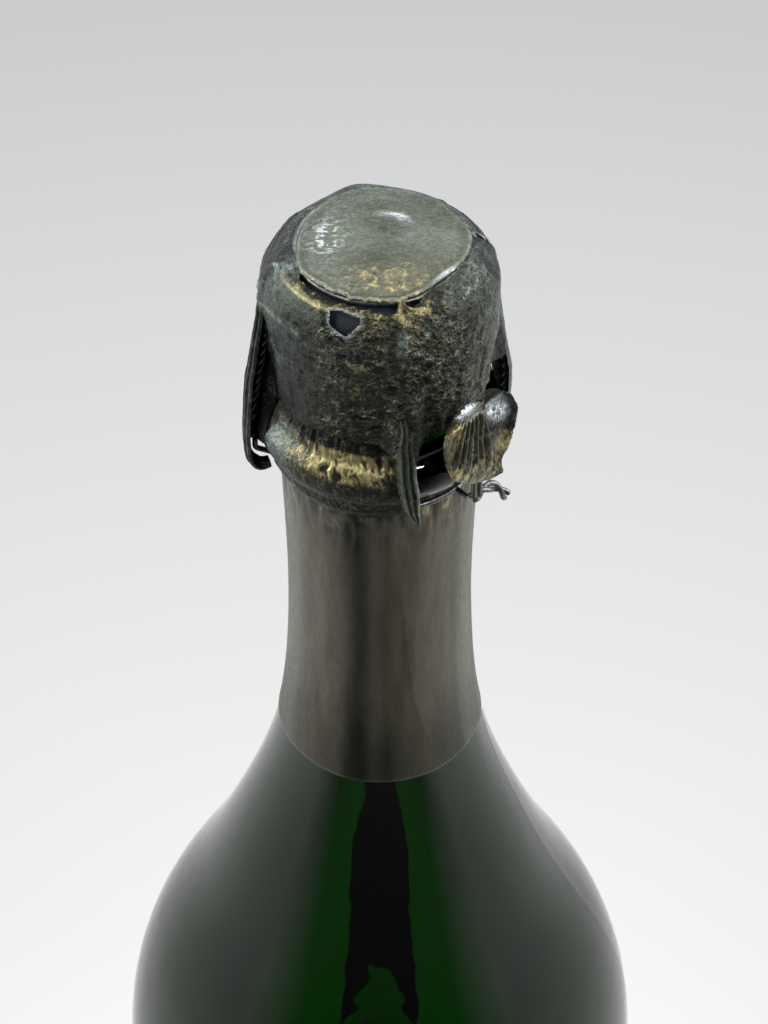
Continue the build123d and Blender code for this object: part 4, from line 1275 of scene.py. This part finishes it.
# Each pair's strand radius, its strands' distance from the middle, and its pitch
LEG_TWIST, TAIL_TWIST = (0.26, 0.24, 3.4), (0.42, 0.46, 7.0)
for side, azimuth in LEG_AZIMUTHS.items():
    run = [(azimuth, radius, height) for radius, height in LEG_RUN]
    leg = twisted_wire("cage_leg_" + side + "_twisted", run, *LEG_TWIST)
    dress(leg, "cage", "cage_wire", "cage_leg_" + side)

# Run of the tail, out under the leaf: azimuth, radius and height
TAIL_RUN = (
    (45.0, 18.15, 281.9), (53.5, 18.1, 281.4), (60.0, 18.15, 280.7), (62.5, 18.5, 279.4),
    (66.5, 19.5, 277.3),
)
dress(twisted_wire("twist_tail_twisted", TAIL_RUN, *TAIL_TWIST), "cage", "cage_wire", "twist_tail")


# Camera, floor and light; places and sizes here are in metres

CAMERA_PLACE = (0, -0.3043, 0.5798)
CAMERA_TILT = 44.11
CAMERA_LENS, CAMERA_FILM, CAMERA_SHIFT = 105.5, 36, 0.004
BACKDROP = "#c9c9c9"
STOPPER = (0, 0, 0.29)
# Soft boxes: place, what it faces, width, height and power
LAMPS = {
    "left_box": ((-0.8, 0.15, 0.5), (0, 0, 0.25), 0.4, 0.8, 5),
    "right_box": ((0.8, 0.15, 0.5), (0, 0, 0.25), 0.4, 0.8, 5),
    "front_left_box": ((-0.5, -0.45, 0.95), STOPPER, 0.3, 0.3, 2.0),
    "window_strip": ((0.46, -0.5, 0.88), STOPPER, 0.24, 0.08, 2.2),
    "top_box": ((0.0, 0.4, 1.15), (0, 0, 0.3), 0.8, 0.6, 4.5),
}


def set_camera():
    """Camera at the photograph's angle: high in front, looking down on the stopper."""
    data = bpy.data.cameras.new("photo_camera")
    data.lens, data.sensor_width, data.shift_x = CAMERA_LENS, CAMERA_FILM, CAMERA_SHIFT
    data.clip_start = 0.01
    camera = bpy.data.objects.new("photo_camera", data)
    camera.location = CAMERA_PLACE
    camera.rotation_euler = (radians(CAMERA_TILT), 0, 0)
    bpy.context.collection.objects.link(camera)
    bpy.context.scene.camera = camera


def pale_floor():
    """Seamless pale sheet that greys with distance, as the photograph's background does.

    The camera sees its plain colour, also through the glass. In reflections the table in front
    of the bottle, which the photograph doesn't show, is dim. The sheet keeps the bottle's
    shadow."""
    f = Finish("seamless_sheet")
    away = f.add("VectorMath", {"operation": "LENGTH"}, n0=f.place).outputs["Value"]
    fade = f.add("Math", HELD_POWER, n0=f.add("MapRange", n0=away, n1=0.1, n2=0.49), n1=0.7)
    tone = f.add("Mix", COLOURS, n0=fade, n6="#f6f6f6", n7=BACKDROP).outputs[2]
    depth = f.add("SeparateXYZ", Vector=f.place).outputs["Y"]
    in_front = f.add("MapRange", n0=f.add("Math", DIVIDE, n0=depth, n1=away), n1=-0.45, n2=-0.78)
    dim = f.add("Mix", COLOURS, n0=in_front, n6=tone, n7="#262828").outputs[2]
    ray = f.add("LightPath").outputs
    clear = f.add("MapRange", n0=away, n1=0.05, n2=0.16)
    through = f.add("Math", HELD_TIMES, n0=ray["Is Transmission Ray"], n1=clear)
    seen = f.add("Math", HELD_LARGER, n0=ray["Is Camera Ray"], n1=through)
    mirrored = f.add("Math", HELD_TIMES, n0=ray["Is Glossy Ray"], n1=clear)
    shader = f.add("BsdfDiffuse", Color=tone)
    for rays, strength, colour in ((seen, 0.85, tone), (mirrored, 0.9, dim)):
        share = f.add("Math", HELD_TIMES, n0=rays, n1=strength)
        shader = f.add("MixShader", n0=share, n1=shader, n2=f.add("Emission", Color=colour))
    f.add("OutputMaterial", Surface=shader)
    half = 3.0
    mesh = bpy.data.meshes.new("sheet")
    corners = [(-half, -half, 0), (half, -half, 0), (half, half, 0), (-half, half, 0)]
    mesh.from_pydata(corners, [], [(0, 1, 2, 3)])
    mesh.materials.append(f.material)
    floor = bpy.data.objects.new("sheet", mesh)
    bpy.context.collection.objects.link(floor)


def studio():
    """Plain soft light: a dim room in front, pale walls at the sides and behind, and soft boxes."""
    world = bpy.data.worlds.new("studio")
    bpy.context.scene.world = world
    world.use_nodes = True
    tree = world.node_tree
    tree.nodes.clear()
    direction = add_node(tree, "ShaderNodeTexCoord").outputs["Generated"]
    depth = add_node(tree, "ShaderNodeSeparateXYZ", Vector=direction).outputs["Y"]
    share = add_node(tree, "ShaderNodeMath", TIMES_PLUS, n0=depth, n1=0.5, n2=0.5)
    wall = add_node(tree, "ShaderNodeValToRGB", Fac=share)
    steps = wall.color_ramp.elements
    steps[1].position = 0.62
    steps[0].position = 0.19
    steps.new(0.23)
    for step, tone in zip(steps, ("#1b1f22", "#6b7276", "#eef1f3")):
        step.color = linear(tone)
    room = add_node(tree, "ShaderNodeBackground", Color=wall, Strength=0.8)
    backdrop = add_node(tree, "ShaderNodeBackground", Color=BACKDROP)
    camera_ray = add_node(tree, "ShaderNodeLightPath").outputs["Is Camera Ray"]
    mix = add_node(tree, "ShaderNodeMixShader", n0=camera_ray, n1=room, n2=backdrop)
    add_node(tree, "ShaderNodeOutputWorld", Surface=mix)
    for name, (place, target, width, height, power) in LAMPS.items():
        data = bpy.data.lights.new(name, "AREA")
        data.shape = "RECTANGLE"
        data.size, data.size_y, data.energy = width, height, power
        light = bpy.data.objects.new(name, data)
        light.location = place
        light.rotation_euler = (Vector(target) - Vector(place)).to_track_quat("-Z", "Y").to_euler()
        bpy.context.collection.objects.link(light)


set_camera()
pale_floor()
studio()
bpy.context.scene.view_settings.view_transform = "Standard"
